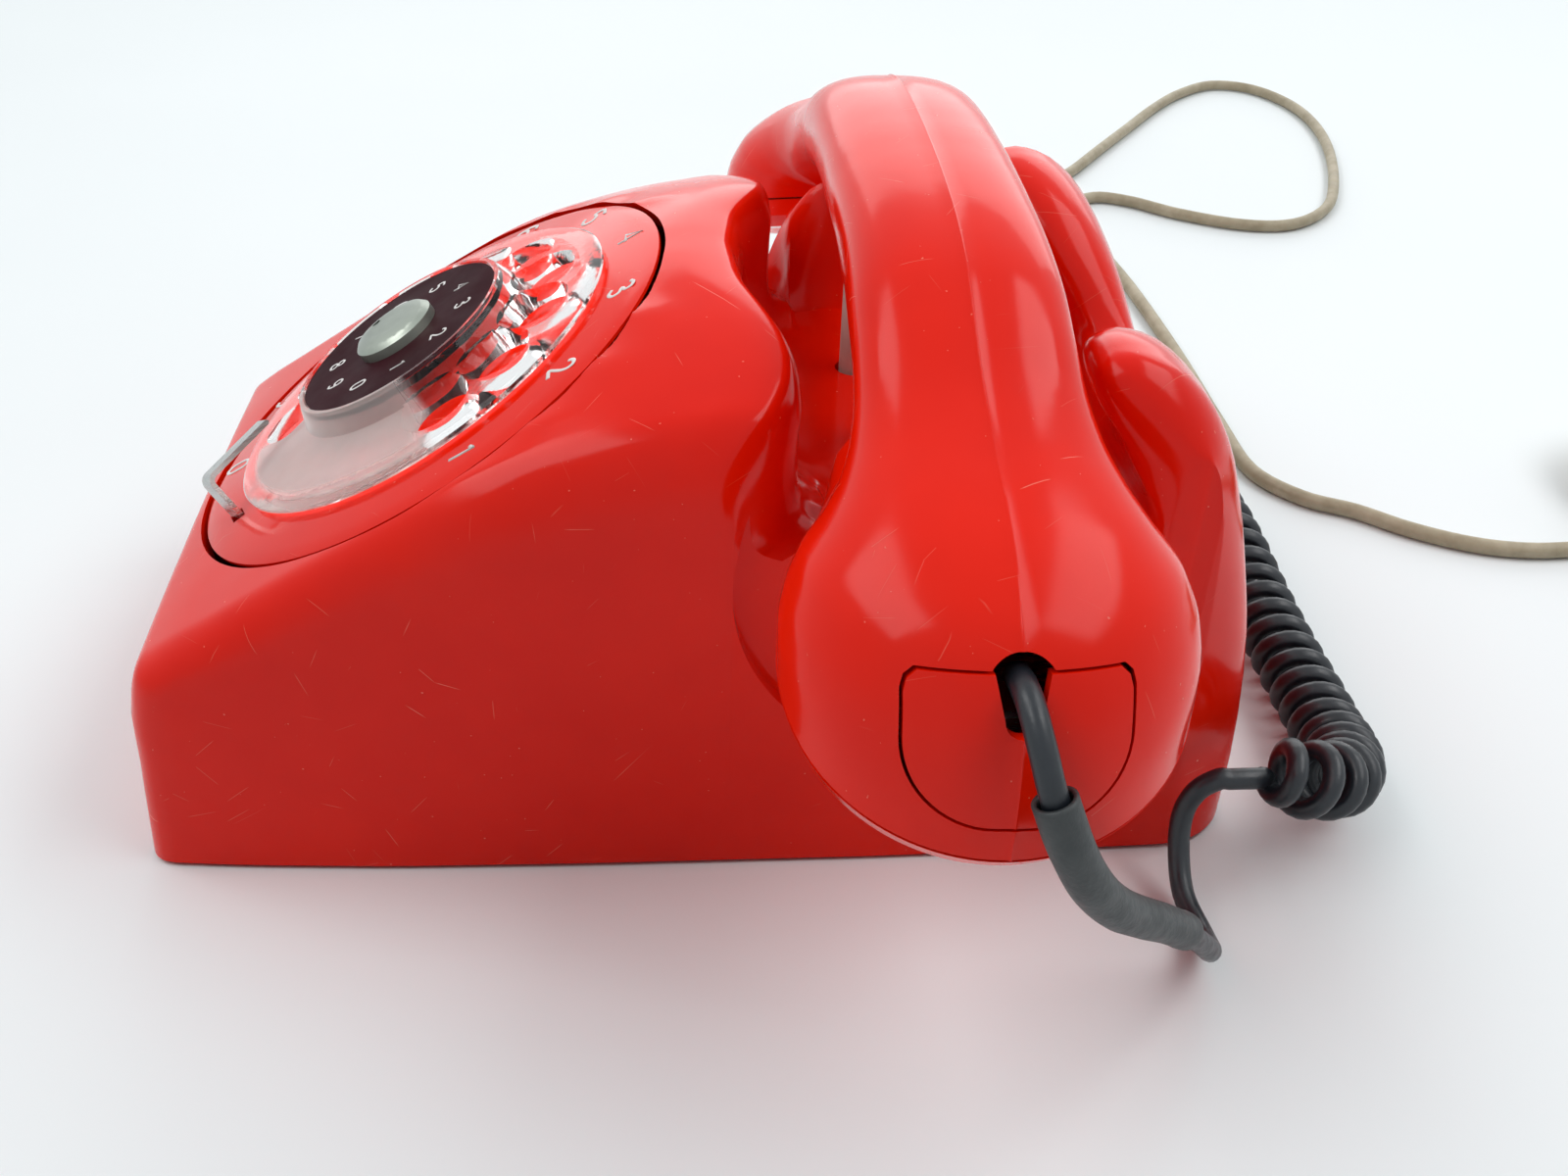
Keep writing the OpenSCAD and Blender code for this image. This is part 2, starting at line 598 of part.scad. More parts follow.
// The lever below the yoke, on its pin between the guide's legs.
module hook_lever() {
    color(steel) {
        translate([-guide_w, lever_y, lever_z]) rotate([0, 90, 0])
            cylinder(r = 1, h = 2 * guide_w, $fn = 32);
        translate([2, lever_y - 8, lever_z - 0.8]) cube([6, 8, 1.6]);
        translate([lever_x - 3, lever_y - 0.8, lever_z - 7]) cube([6, 1.6, 7]);
    }
}

function helix(r, h, turns, steps) = [for (i = [0:turns * steps])
    [r * cos(i * 360 / steps), r * sin(i * 360 / steps), h * i / (turns * steps)]];

module hook_spring() {
    color(steel) translate([spring_x, plunger_y, spring_seat + 0.45])
        tube(helix(2.2, yoke_z - spring_seat - 0.9, 4, 10), 0.4, 5);
}

module switch_springs() {
    color(brass) for (i = [0:3]) translate([lever_x - 4, lever_y + 1.1 + i * 1.7, plate_top + 3])
        cube([8, 0.4, lever_z - 5 - plate_top]);
    color(dark) translate([lever_x - 5, lever_y + 0.7, plate_top]) cube([10, 6.6, 3.6]);
}

// ---- bells ----
bell_x = gong_r + 3;
bell_y = rear_y - 35;
bell_z = plate_top + 12;
bell_gap = 1.6;

module bell_gong(x) {
    color(steel) translate([x, bell_y, bell_z]) rotate_extrude($fn = 72) polygon(concat(
        [[2, gong_h - 1.4], [2, gong_h]],
        [for (a = [90:-10:0]) [gong_r - 8 + 8 * cos(a), gong_h - 8 + 8 * sin(a)]],
        [[gong_r, 0], [gong_r - 1.4, 0]],
        [for (a = [0:10:90]) [gong_r - 8 + 6.6 * cos(a), gong_h - 8 + 6.6 * sin(a)]]));
}

module bell_posts() {
    color(brass) for (x = [-bell_x, bell_x]) translate([x, bell_y, 0]) {
        translate([0, 0, plate_top]) cylinder(r = 3.4, h = bell_z + gong_h - 1.4 - plate_top, $fn = 32);
        translate([0, 0, bell_z + gong_h - 2]) cylinder(r = 1.9, h = 3, $fn = 24);
        translate([0, 0, bell_z + gong_h]) cylinder(r = 3.6, h = 1.6, $fn = 32);
    }
}

coil_y = bell_y - 39;
coil_r = 8;

module bell_coils() {
    color(brown) for (x = [-10, 10]) translate([x, coil_y, plate_top + 2])
        rotate_extrude($fn = 48) polygon([[3.1, 0], [coil_r + 0.8, 0], [coil_r + 0.8, 1],
            [coil_r, 1], [coil_r, 17], [coil_r + 0.8, 17], [coil_r + 0.8, 18], [3.1, 18]]);
}

// The iron yoke with both cores and the bracket that the clapper swings in.
module bell_yoke() {
    color(steel) {
        translate([-16, coil_y - 7, plate_top]) cube([32, 14, 2]);
        for (x = [-10, 10]) translate([x, coil_y, plate_top]) cylinder(r = 3, h = 21, $fn = 32);
        difference() {
            for (z = [plate_top + 1, plate_top + 27]) translate([-2.5, coil_y + 7, z])
                cube([5, 8, 1.6]);
            translate([0, coil_y + 12, 0]) cylinder(r = 1 + bearing_gap, h = 60, $fn = 32);
        }
        translate([-2.5, coil_y + 7, plate_top + 1]) cube([5, 1.6, 27]);
    }
}

clapper_y = coil_y + 12;

// The armature with its rod and ball between the gongs.
module clapper() {
    z = plate_top + 22.2;
    rod_z = bell_z + 6;
    color(steel) translate([0, clapper_y, 0]) {
        difference() {
            translate([0, 0, z]) linear_extrude(1.6) polygon([[-14, -16], [14, -16], [14, -11],
                [5.5, -11], [5.5, 2], [-5.5, 2], [-5.5, -11], [-14, -11]]);
            translate([-3.4, -11.4, z - 1]) cube([6.8, 9.4, 4]);
        }
        translate([0, 0, plate_top + 1]) cylinder(r = 1, h = 27.6, $fn = 32);
        translate([0, 0, rod_z]) rotate([-90, 0, 0])
            cylinder(r = 0.7, h = bell_y - clapper_y, $fn = 24);
        translate([0, bell_y - clapper_y, rod_z]) sphere(r = 2.2, $fn = 32);
    }
}

// ---- electrics ----
board_y = -12;
board_z = plate_top + 6;

module circuit_board() {
    color("darkolivegreen") difference() {
        translate([18, board_y - 20, board_z]) cube([30, 36, 1.6]);
        for (x = [21, 45], y = [-17, 13]) translate([x, board_y + y, board_z - 1])
            cylinder(r = 1.6, h = 4, $fn = 24);
    }
    color("darkolivegreen") for (x = [21, 45], y = [-17, 13]) translate([x, board_y + y, plate_top])
        cylinder(r = 1.6, h = board_z - plate_top + 3, $fn = 24);
}

module capacitor() {
    color("silver") translate([24, board_y - 8, board_z + 1.6]) difference() {
        cube([18, 10, 12]);
        translate([-1, 4.4, 10.8]) cube([20, 1.2, 3]);
    }
}

module induction_coil() {
    color(brown) translate([-44, board_y - 18, plate_top]) {
        cube([24, 30, 3]);
        translate([2, 3, 3]) cube([20, 3, 16]);
        translate([2, 24, 3]) cube([20, 3, 16]);
        translate([12, 6, 11]) rotate([-90, 0, 0]) cylinder(r = 7.4, h = 18, $fn = 40);
    }
}

block_y = rear_y - 14;

module terminal_block() {
    color(dark) translate([-24, block_y - 5, plate_top]) difference() {
        cube([36, 10, 7]);
        for (i = [0:4]) translate([2 + i * 6.8, -1, 4.5]) cube([4.8, 12, 5]);
        for (i = [0:4]) translate([4.4 + i * 6.8, 5, 1]) cylinder(r = 1.3, h = 9, $fn = 24);
    }
}

module terminal_screws() {
    color(brass) for (i = [0:4]) translate([-19.6 + i * 6.8, block_y, plate_top + 1.2]) difference() {
        union() {
            cylinder(r = 1.2, h = 4, $fn = 24);
            translate([0, 0, 3.3]) cylinder(r = 2.1, h = 1.7, $fn = 32);
        }
        translate([-3, -0.3, 4.3]) cube([6, 0.6, 2]);
    }
}

// ---- handset ----
reach = handset_l / 2 - 119.6;
grip_lift = handset_z;
// Upper and lower edge of each cross-section as [x, z], then its half-width and its squareness.
SECTIONS = [
    [[0, 121], [0, 99.5], 0, 2.7],
    [[20, 120.4], [19, 98.8], 0, 2.7],
    [[35, 118.7], [33, 97.3], 0, 2.7],
    [[47, 116], [43, 95.3], 0.3, 2.6],
    [[57, 111.8], [50.5, 92.8], 1.5, 2.5],
    [[68, 106.3], [56, 90.2], 4, 2.4],
    [[79, 102.2], [59.5, 88], 8, 2.3],
    [[90, 99], [61.5, 86.4], 11.8, 2.2],
    [[101, 94.8], [62.6, 85.2], 14.4, 2.1],
    [[110, 88.5], [63.1, 84.6], 15.6, 2.05],
    [[116, 79.5], [63.3, 84.35], 16, 2],
    [[119, 69.5], [63.4, 84.2], 15.6, 2],
    [[119.6, 58.2], [63.4, 84.1], 14, 2]];
LOOP = 24;

cup_x = 91.5 + reach;
cup_z = 71.1 + grip_lift;
cup_lean = 24.7;

// One loop of points around the handset, shrunk by t for its inside.
function loop_at(sec, side, t) = let(
        shift = sec[0][0] > 55 ? reach : reach * sec[0][0] / 55,
        a = [sec[0][0] + shift, sec[0][1] + grip_lift],
        b = [sec[1][0] + shift, sec[1][1] + grip_lift],
        u = unit(a - b),
        mid = (a + b) / 2,
        h = norm(a - b) / 2 - t,
        w = (sec[2] > 12 ? cup_r + (sec[2] - 14) : grip_w + sec[2] * (cup_r - grip_w) / 14) - t)
    [for (i = [0:LOOP - 1]) let(
            q = i * 360 / LOOP,
            c = sign(cos(q)) * pow(abs(cos(q)), 2 / sec[3]),
            s = sign(sin(q)) * pow(abs(sin(q)), 2 / sec[3]),
            p = mid + u * h * c)
        [side * p[0], cradle_y + w * s, p[1]]];

function handset_rows(t) = let(n = len(SECTIONS) - 1) concat(
    [for (j = [n:-1:1]) loop_at(SECTIONS[j], -1, t)],
    [for (j = [0:n]) loop_at(SECTIONS[j], 1, t)]);

module handset_skin() {
    outer = handset_rows(0);
    inner = handset_rows(handset_wall);
    m = len(outer);
    base = m * LOOP;
    ring = function(at, r, flip) [for (i = [0:LOOP - 1]) each let(
            a = at + r * LOOP + i, b = at + r * LOOP + (i + 1) % LOOP, c = a + LOOP, d = b + LOOP)
        flip ? [[a, b, d], [a, d, c]] : [[a, d, b], [a, c, d]]];
    end = function(r, flip) [for (i = [0:LOOP - 1]) each let(
            a = r * LOOP + i, b = r * LOOP + (i + 1) % LOOP, c = base + a, d = base + b)
        flip ? [[a, b, d], [a, d, c]] : [[a, d, b], [a, c, d]]];
    polyhedron(concat([for (r = outer) each r], [for (r = inner) each r]), concat(
        [for (r = [0:m - 2]) each ring(0, r, true)],
        [for (r = [0:m - 2]) each ring(base, r, false)],
        end(0, false), end(m - 1, true)));
}

end_lean = 15;
end_at = [116.2 + reach, cradle_y, 73.8 + grip_lift];
plug_w = 33;
plug_h = 21;
plug_depth = 5;
notch_r = 3.2;

// Flat-topped outline with round lower corners for the plug in the handset's end.
module plug_outline(grow) {
    w = plug_w / 2 + grow;
    h = plug_h / 2 + grow;
    r = 9;
    polygon(concat([[w, h - 2], [w - 2, h], [-w + 2, h], [-w, h - 2]],
        [for (a = [180:15:270]) [-w + r + r * cos(a), -h + r + r * sin(a)]],
        [for (a = [270:15:360]) [w - r + r * cos(a), -h + r + r * sin(a)]]));
}

// Stands children on the handset's end face, with Z pointing out of it.
module on_handset_end() {
    translate(end_at) rotate([0, -end_lean, 0]) rotate([90, 0, 90]) children();
}

module handset_shell() {
    color(red) difference() {
        handset_skin();
        on_handset_end() {
            translate([0, 0, -plug_depth - 4]) linear_extrude(20) plug_outline(0);
            translate([0, plug_h / 2, -plug_depth - 4]) cylinder(r = notch_r, h = 20, $fn = 40);
        }
    }
}

module handset_end_plug() {
    color(red) on_handset_end() difference() {
        translate([0, 0, -4]) linear_extrude(4.6) plug_outline(-seat_gap);
        translate([0, plug_h / 2, -9]) cylinder(r = notch_r, h = 20, $fn = 40);
    }
}

// Stands children on a cup's seam, with Z pointing up into the cup.
module on_cup(side) {
    translate([side * cup_x, cradle_y, cup_z]) rotate([0, side * cup_lean, 0]) children();
}

module cap(side, rows) {
    color(red) on_cup(side) difference() {
        rotate_extrude($fn = 96) polygon([[0, -cap_t + 1.2], [cup_r - 12, -cap_t + 1.2],
            [cup_r - 9, -cap_t], [cup_r - 4, -cap_t], [cup_r - 0.8, -cap_t + 2.2],
            [cup_r + 0.1, -0.3], [cup_r - 4.2, -0.3], [cup_r - 4.2, 1.4], [cup_r - 5.4, 1.4],
            [cup_r - 5.4, -cap_t + 3.2], [0, -cap_t + 3.2]]);
        for (k = [0:rows - 1], i = [0:max(0, 6 * k - 1)]) rotate(i * 60 / max(k, 1))
            translate([5 * k, 0, -cap_t - 1]) cylinder(r = 1.1, h = 6, $fn = 20);
    }
}

module capsule(side, r, thick) {
    low = -cap_t + 3.2 + seat_gap;
    on_cup(side) rotate_extrude($fn = 72) polygon([[0, low + 0.8], [r - 6, low + 0.8],
        [r - 3, low], [r, low], [r, low + thick - 2], [r - 3, low + thick - 2],
        [r - 6, low + thick], [0, low + thick]]);
}

// ---- cords ----
function cross3(a, b) = [a[1] * b[2] - a[2] * b[1], a[2] * b[0] - a[0] * b[2],
    a[0] * b[1] - a[1] * b[0]];

function heading(p, i) = unit(p[min(i + 1, len(p) - 1)] - p[max(i - 1, 0)]);

// Sideways direction at every point, carried along so that the tube doesn't twist.
function frames(p) = let(t0 = heading(p, 0), ref = abs(t0[2]) > 0.8 ? [1, 0, 0] : [0, 0, 1])
    [for (i = 0, n = unit(cross3(t0, ref)); i < len(p); i = i + 1,
        n = i < len(p) ? let(t = heading(p, i)) unit(n - t * (n * t)) : n) n];

// A round tube along a list of points, closed at both ends.
module tube(p, r, sides) {
    side_dir = frames(p);
    ring = function(i) let(t = heading(p, i), n = side_dir[i], b = cross3(t, n))
        [for (k = [0:sides - 1]) p[i] + r * (cos(k * 360 / sides) * n + sin(k * 360 / sides) * b)];
    skin_of_tube([for (i = [0:len(p) - 1]) ring(i)], sides);
}

module skin_of_tube(rings, sides) {
    last = len(rings) - 1;
    polyhedron([for (q = rings) each q], concat(
        [for (i = [0:last - 1], k = [0:sides - 1]) each let(
            a = i * sides + k, b = i * sides + (k + 1) % sides, c = a + sides, d = b + sides)
            [[a, d, b], [a, c, d]]],
        [for (k = [1:sides - 2]) [0, k, k + 1]],
        [for (k = [1:sides - 2]) [last * sides, last * sides + k + 1, last * sides + k]]));
}

// A smooth curve through the route's points, with n steps between neighbours.
function smooth(p, n) = concat([for (i = [0:len(p) - 2], k = [0:n - 1]) let(
        t = k / n, a = p[max(i - 1, 0)], b = p[i], c = p[i + 1], d = p[min(i + 2, len(p) - 1)])
    0.5 * (2 * b + (c - a) * t + (2 * a - 5 * b + 4 * c - d) * t * t
        + (3 * b - a - 3 * c + d) * t * t * t)], [p[len(p) - 1]]);

cord_r = cord_d / 2;
LEAD = [[109, 40, 82.7], [113, 40, 83.8], [117, 40.3, 83.4], [121, 41.3, 80], [124, 43.2, 73.5],
    [125.4, 46.2, 66], [124, 50.5, 57.5], [120, 56, 49], [115, 62, 41.5], [109.5, 68.5, 34],
    [104, 75, 26], [98.5, 81, 17], [92.5, 86, 8.4], [84, 88, 3.4], [75, 87, 4.2], [68.5, 87, 9.6],
    [65.6, 87.6, 15.6], [65, 89.6, 20.4], [65, 93, 23], [65, 95, 23], [65, 97, 23]];
SLEEVE_FROM = 4;
SLEEVE_TO = 10;
CURLS = [[65, 97, 23], [65, 99, 23], [65, 101, 23], [65, 103, 23], [65, 105, 23],
    [64.3, 110, 21.9], [62, 115.5, 19.4], [57.8, 120.4, 16.4], [51.5, 124.2, 13.4], [44.5, 126.6, 11], [37.5, 127.3, 9.2], [26, 128, 8.2], [14, 128, 8],
    [0, 128, 8.2], [-14, 127.8, 9.4], [-28, 127.6, 11.2], [-42, 127.4, 11.8], [-56, 127.2, 10.8],
    [-70, 127, 9], [-82, 126.4, 8], [-86, 126, 8], [-90, 125.6, 8], [-94, 125.2, 8]];
TAIL = [[-94, 125.2, 8], [-96, 125, 8], [-100, 124.6, 8], [-105, 122.8, 7], [-111, 118, 4.8],
    [-115.5, 110.5, 3], [-116.5, 101, 2.4], [-113, 90.5, 2.6], [-105, 82, 3.6], [-95, 76, 5.6],
    [-84, 73, 7.6], [-73, 72, 8.8], [-66, 72, 9], [-62.5, 72, 9]];

function arc_sums(p) = [for (i = 0, s = 0; i < len(p); i = i + 1,
    s = i < len(p) ? s + norm(p[i] - p[i - 1]) : s) s];

curl_r = (curl_d - cord_d) / 2;
curl_rings = 8;
route = smooth(CURLS, 6);
route_s = arc_sums(route);
route_l = route_s[len(route) - 1];
curl_n = floor((route_l - 2 * cord_d) / curl_pitch);
along = [for (i = [0:len(route) - 1]) [route_s[i], i]];

function route_at(s) = let(f = clamp(lookup(s, along), 0, len(route) - 1.001), i = floor(f))
    lerp(route[i], route[i + 1], f - i);
function route_dir(s) = unit(route_at(min(route_l, s + 2)) - route_at(max(0, s - 2)));

// The curly cord's centre line: a helix that opens from the route and closes back into it.
curl_steps = curl_n * curl_rings;
curl_from = (route_l - curl_n * curl_pitch) / 2;
curl_line = concat([route_at(0)], [for (i = [0:curl_steps]) let(
        s = curl_from + i * curl_pitch / curl_rings,
        t = route_dir(s),
        side = unit(cross3(t, [0, 0, 1])),
        up = cross3(side, t),
        r = curl_r * clamp(min(i, curl_steps - i) / 5, 0, 1),
        a = 180 + i * 360 / curl_rings)
    route_at(s) + r * (cos(a) * side + sin(a) * up)], [route_at(route_l)]);

curl_gap = min([for (i = [0:1:len(curl_line) - 7], j = [i + 6:1:min(i + 12, len(curl_line) - 1)])
    norm(curl_line[i] - curl_line[j])]) - cord_d;
echo(curls = curl_n, least_curl_gap = curl_gap);

module handset_cord_lead() {
    color(dark) tube(smooth(LEAD, 3), cord_r, 8);
}

// A shrunk sleeve around the lead, thicker than the cord and open at both ends.
module cord_sleeve() {
    path = smooth([for (i = [SLEEVE_FROM:SLEEVE_TO]) LEAD[i]], 3);
    color(dark) difference() {
        tube(path, cord_r + 1.5, 12);
        tube(concat([path[0] - 2 * heading(path, 0)], path,
            [path[len(path) - 1] + 2 * heading(path, len(path) - 1)]), cord_r + 0.4, 8);
    }
}

module curly_cord() {
    color(dark) tube(curl_line, cord_r, 6);
}

module handset_cord_tail() {
    color(dark) tube(smooth(TAIL, 3), cord_r, 8);
}

LINE = [[-40, 106, 9], [-40, 109, 8.6], [-40, 114, 6], [-41, 120, 3], [-44, 128, 2.2],
    [-52, 136, 2.2], [-64, 140, 2.2], [-100, 141, 2.2], [-150, 138, 2.2], [-200, 134, 2.2],
    [-250, 128, 2.2], [-275, 128, 2.2], [-292, 137, 2.2], [-304, 150, 2.2], [-330, 168, 2.2],
    [-359, 188, 2.2], [-385, 206, 2.2], [-404, 222, 2.2], [-417, 240, 2.2], [-412, 257, 2.2],
    [-392, 267, 2.2], [-366, 269, 2.2], [-334, 264, 2.2], [-298, 253, 2.2], [-270, 240, 2.2],
    [-254, 222, 2.2], [-253, 203, 2.2], [-263, 182, 2.2], [-275, 167, 2.2], [-279, 154, 2.2],
    [-268, 143, 2.2], [-240, 143, 2.2], [-200, 147, 2.2], [-150, 149, 2.2], [-105, 149, 2.2],
    [-80, 150, 2.2], [-66, 159, 2.2], [-59, 171, 2.2], [-50, 182, 2.2], [-43, 195, 2.2],
    [-40, 208, 2.2], [-40.4, 222, 2.2], [-42, 233, 2.2], [-43, 242, 2.2], [-43, 244, 2.2],
    [-43, 246, 2.2]];

module line_cord() {
    color(cream) tube(smooth(LINE, 2), cord_r, 8);
}

// The rest of the line cord in a round coil of four layers that spirals in and out again.
pile_out = 26;
pile_step = cord_d + 0.6;
pile_rings = 24;
pile_layers = 4;
layer_loops = coil_loops / pile_layers;
pile_at = LINE[len(LINE) - 1] + [-pile_out, 6, 0];
pile_line = [for (i = [0:coil_loops * pile_rings]) let(
        turn = i / pile_rings,
        layer = min(pile_layers - 1, floor(turn / layer_loops)),
        w = turn - layer * layer_loops,
        r = pile_out - pile_step * (layer % 2 == 0 ? w : layer_loops - w),
        climbs = [for (k = [1:pile_layers - 1])
            clamp((turn - k * layer_loops + 0.25) * 2, 0, 1)],
        z = pile_step * (climbs * [for (k = climbs) 1]))
    pile_at + [r * cos(360 * turn), r * sin(360 * turn), z]];
pile_end = pile_line[len(pile_line) - 1];
pile_tail = [for (p = [[0, 6, -0.6], [0.4, 12, -2.8], [1, 18, -5.4], [1.4, 24, -6.9], [1.5, 28, -7.2], [1.5, 32, -7.2]])
    pile_end + p];
pile_gap = min([for (i = [0:1:len(pile_line) - 1], j = [i + 18:1:len(pile_line) - 1])
    norm(pile_line[i] - pile_line[j])]) - cord_d;
echo(coil_gap = pile_gap);

module line_cord_coil() {
    color(cream) tube(concat([pile_line[0] - [0, 6, 0]], pile_line, pile_tail), cord_r, 6);
}

module line_cord_grommet() {
    color(dark) translate([line_exit_x, 0, exit_z]) rotate([-90, 0, 0])
        grommet(rear_y - 7.5, rear_y + 2.6);
}

module handset_cord_grommet() {
    color(dark) translate([0, handset_exit_y, exit_z]) rotate([0, -90, 0])
        grommet(body_w / 2 - 8, body_w / 2 + 2.2);
}

module grommet(low, high) {
    rotate_extrude($fn = 40) polygon([[cord_r + 0.1, low], [grommet_r + 1.4, low],
        [grommet_r + 1.4, low + 1], [grommet_r - 0.15, low + 1.6], [grommet_r - 0.15, high - 1.6],
        [grommet_r + 1.4, high - 1.4], [grommet_r + 1, high - 0.6], [cord_r + 0.6, high + 2],
        [cord_r + 0.1, high + 2]]);
}

plug_at = pile_tail[len(pile_tail) - 1];

// A round-shouldered wall plug that lies beside the coil.
module line_plug() {
    color(cream) translate(plug_at) {
        rotate([-90, 0, 0]) rotate_extrude($fn = 48) polygon([[0, 0], [3.4, 0], [4.6, 9], [8, 14],
            [8, 34], [7, 35.5], [0, 35.5]]);
    }
}

module line_plug_pins() {
    color(brass) translate(plug_at + [0, 35.5, 0])
        for (p = [[-4, -3], [4, -3], [-4, 3], [4, 3]]) translate([p[0], 0, p[1]])
            rotate([-90, 0, 0]) cylinder(r = 1.2, h = 14, $fn = 24);
}

housing();
base_plate();
rubber_feet();
base_screws();
number_plate();
finger_wheel();
label_disc();
hub_cap();
dial_shaft();
finger_stop();
dial_frame();
dial_brackets();
dial_pillars();
drive_gear();
main_spring();
pinion_shaft();
governor();
governor_cup();
pulse_cam();
pulse_contacts();
hook_yoke();
hook_guide();
hook_lever();
hook_spring();
switch_springs();
bell_gong(-bell_x);  // bell_gong_left
bell_gong(bell_x);  // bell_gong_right
bell_posts();
bell_coils();
bell_yoke();
clapper();
circuit_board();
capacitor();
induction_coil();
terminal_block();
terminal_screws();
handset_shell();
cap(1, 2);  // mouth_cap
cap(-1, 3);  // ear_cap
color(steel) capsule(1, cup_r - 13, 9);  // microphone
color(steel) capsule(-1, cup_r - 7, 10);  // earphone
handset_end_plug();
handset_cord_lead();
cord_sleeve();
curly_cord();
handset_cord_tail();
handset_cord_grommet();
line_cord();
line_cord_coil();
line_cord_grommet();
line_plug();
line_plug_pins();
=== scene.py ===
import bmesh
import bpy
import json
import math
from mathutils import Matrix, Vector


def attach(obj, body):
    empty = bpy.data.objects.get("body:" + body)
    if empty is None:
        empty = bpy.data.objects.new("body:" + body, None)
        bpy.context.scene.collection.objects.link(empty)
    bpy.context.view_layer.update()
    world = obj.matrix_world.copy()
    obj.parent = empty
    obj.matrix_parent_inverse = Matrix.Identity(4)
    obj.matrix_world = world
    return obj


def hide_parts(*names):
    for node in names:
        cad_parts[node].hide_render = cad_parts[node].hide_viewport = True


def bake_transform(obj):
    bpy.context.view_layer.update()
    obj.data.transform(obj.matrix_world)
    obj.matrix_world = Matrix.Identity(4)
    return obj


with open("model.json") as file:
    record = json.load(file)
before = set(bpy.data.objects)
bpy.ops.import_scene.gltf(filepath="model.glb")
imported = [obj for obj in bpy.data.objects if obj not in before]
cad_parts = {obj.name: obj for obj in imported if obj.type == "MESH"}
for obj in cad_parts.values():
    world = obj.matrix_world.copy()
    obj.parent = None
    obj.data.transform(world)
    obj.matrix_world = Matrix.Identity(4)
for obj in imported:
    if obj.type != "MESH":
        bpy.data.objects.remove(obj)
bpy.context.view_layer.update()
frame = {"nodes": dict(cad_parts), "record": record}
NODES = frame["nodes"]
MM = 0.001

# ---- camera, solved from the photograph ----
WIDTH_PX = 1600
FOCAL_PX = 1605
SENSOR_MM = 36
NEAREST = 0.01
CAMERA_AT = Vector((0.2740, -0.0077, 0.2124))
CAMERA_AZ, CAMERA_EL, CAMERA_ROLL = (math.radians(a) for a in (84.6, 34.76, 2.37))


def camera_axes(az, el, roll):
    """Right, up and forward of a camera that looks az from +Y towards -X and el downwards."""
    forward = Vector((-math.sin(az) * math.cos(el), math.cos(az) * math.cos(el), -math.sin(el)))
    right = forward.cross(Vector((0, 0, 1))).normalized()
    up = right.cross(forward)
    return (right * math.cos(roll) + up * math.sin(roll),
            up * math.cos(roll) - right * math.sin(roll), forward)


def add_camera():
    """The camera that took the photograph."""
    right, up, forward = camera_axes(CAMERA_AZ, CAMERA_EL, CAMERA_ROLL)
    data = bpy.data.cameras.new("camera")
    data.sensor_width = SENSOR_MM
    data.lens = FOCAL_PX * SENSOR_MM / WIDTH_PX
    data.clip_start = NEAREST
    camera = bpy.data.objects.new("camera", data)
    turn = Matrix((right, up, -forward)).transposed()
    camera.matrix_world = Matrix.Translation(CAMERA_AT) @ turn.to_4x4()
    bpy.context.scene.collection.objects.link(camera)
    bpy.context.scene.camera = camera


add_camera()


# ---- numbers and curves ----
def clamp(value, low=0.0, high=1.0):
    """The value, kept between low and high."""
    return min(high, max(low, value))


def mixed(a, b, share):
    """A point a share of the way from a to b."""
    return [p + (q - p) * share for p, q in zip(a, b)]


def table(rows, x, soft):
    """A number between the rows of a table, averaged over a length soft to either side."""
    total = 0
    steps = (-1, -0.5, 0, 0.5, 1)
    for step in steps:
        at = clamp(x + step * soft, rows[0][0], rows[-1][0])
        i = max(k for k in range(len(rows) - 1) if k == 0 or rows[k][0] <= at)
        (x0, y0), (x1, y1) = rows[i], rows[i + 1]
        total += y0 + (y1 - y0) * (at - x0) / (x1 - x0)
    return total / len(steps)


def eased(points, steps):
    """A curve through points that follows uneven spacing without overshoot."""
    p = [Vector(q) for q in points]
    last = len(p) - 1
    gap = [max((b - a).length, 1e-6) for a, b in zip(p, p[1:])]
    way = []
    for i in range(last + 1):
        if i in (0, last):
            k = 0 if i == 0 else last - 1
            way.append((p[k + 1] - p[k]) / gap[k])
        else:
            before, after = (p[i] - p[i - 1]) / gap[i - 1], (p[i + 1] - p[i]) / gap[i]
            way.append((before * gap[i] + after * gap[i - 1]) / (gap[i] + gap[i - 1]))
    line = []
    for i in range(last):
        for k in range(steps):
            t = k / steps
            line.append((2 * t**3 - 3 * t**2 + 1) * p[i] + (t**3 - 2 * t**2 + t) * gap[i] * way[i]
                        + (3 * t**2 - 2 * t**3) * p[i + 1] + (t**3 - t**2) * gap[i] * way[i + 1])
    return line + [p[-1]]


def smooth_line(points, steps):
    """A smooth curve through points, as part.scad draws the cords, with steps between points."""
    p = [Vector(q) for q in points]
    line = []
    for i in range(len(p) - 1):
        a, b, c, d = p[max(i - 1, 0)], p[i], p[i + 1], p[min(i + 2, len(p) - 1)]
        for k in range(steps):
            t = k / steps
            line.append(0.5 * (2 * b + (c - a) * t + (2 * a - 5 * b + 4 * c - d) * t * t
                               + (3 * b - a - 3 * c + d) * t * t * t))
    return line + [p[-1]]


def headings(line):
    """The direction of a line at each of its points."""
    last = len(line) - 1
    return [(line[min(i + 1, last)] - line[max(i - 1, 0)]).normalized() for i in range(last + 1)]


# ---- mesh helpers ----
SHARP_EDGE = math.radians(40)


def add_mesh(name, points, faces):
    """A smooth piece from points in millimetres."""
    mesh = bpy.data.meshes.new(name)
    mesh.from_pydata([tuple(MM * c for c in p) for p in points], [], faces)
    mesh.validate()
    mesh.shade_smooth()
    piece = bpy.data.objects.new(name, mesh)
    bpy.context.scene.collection.objects.link(piece)
    return piece


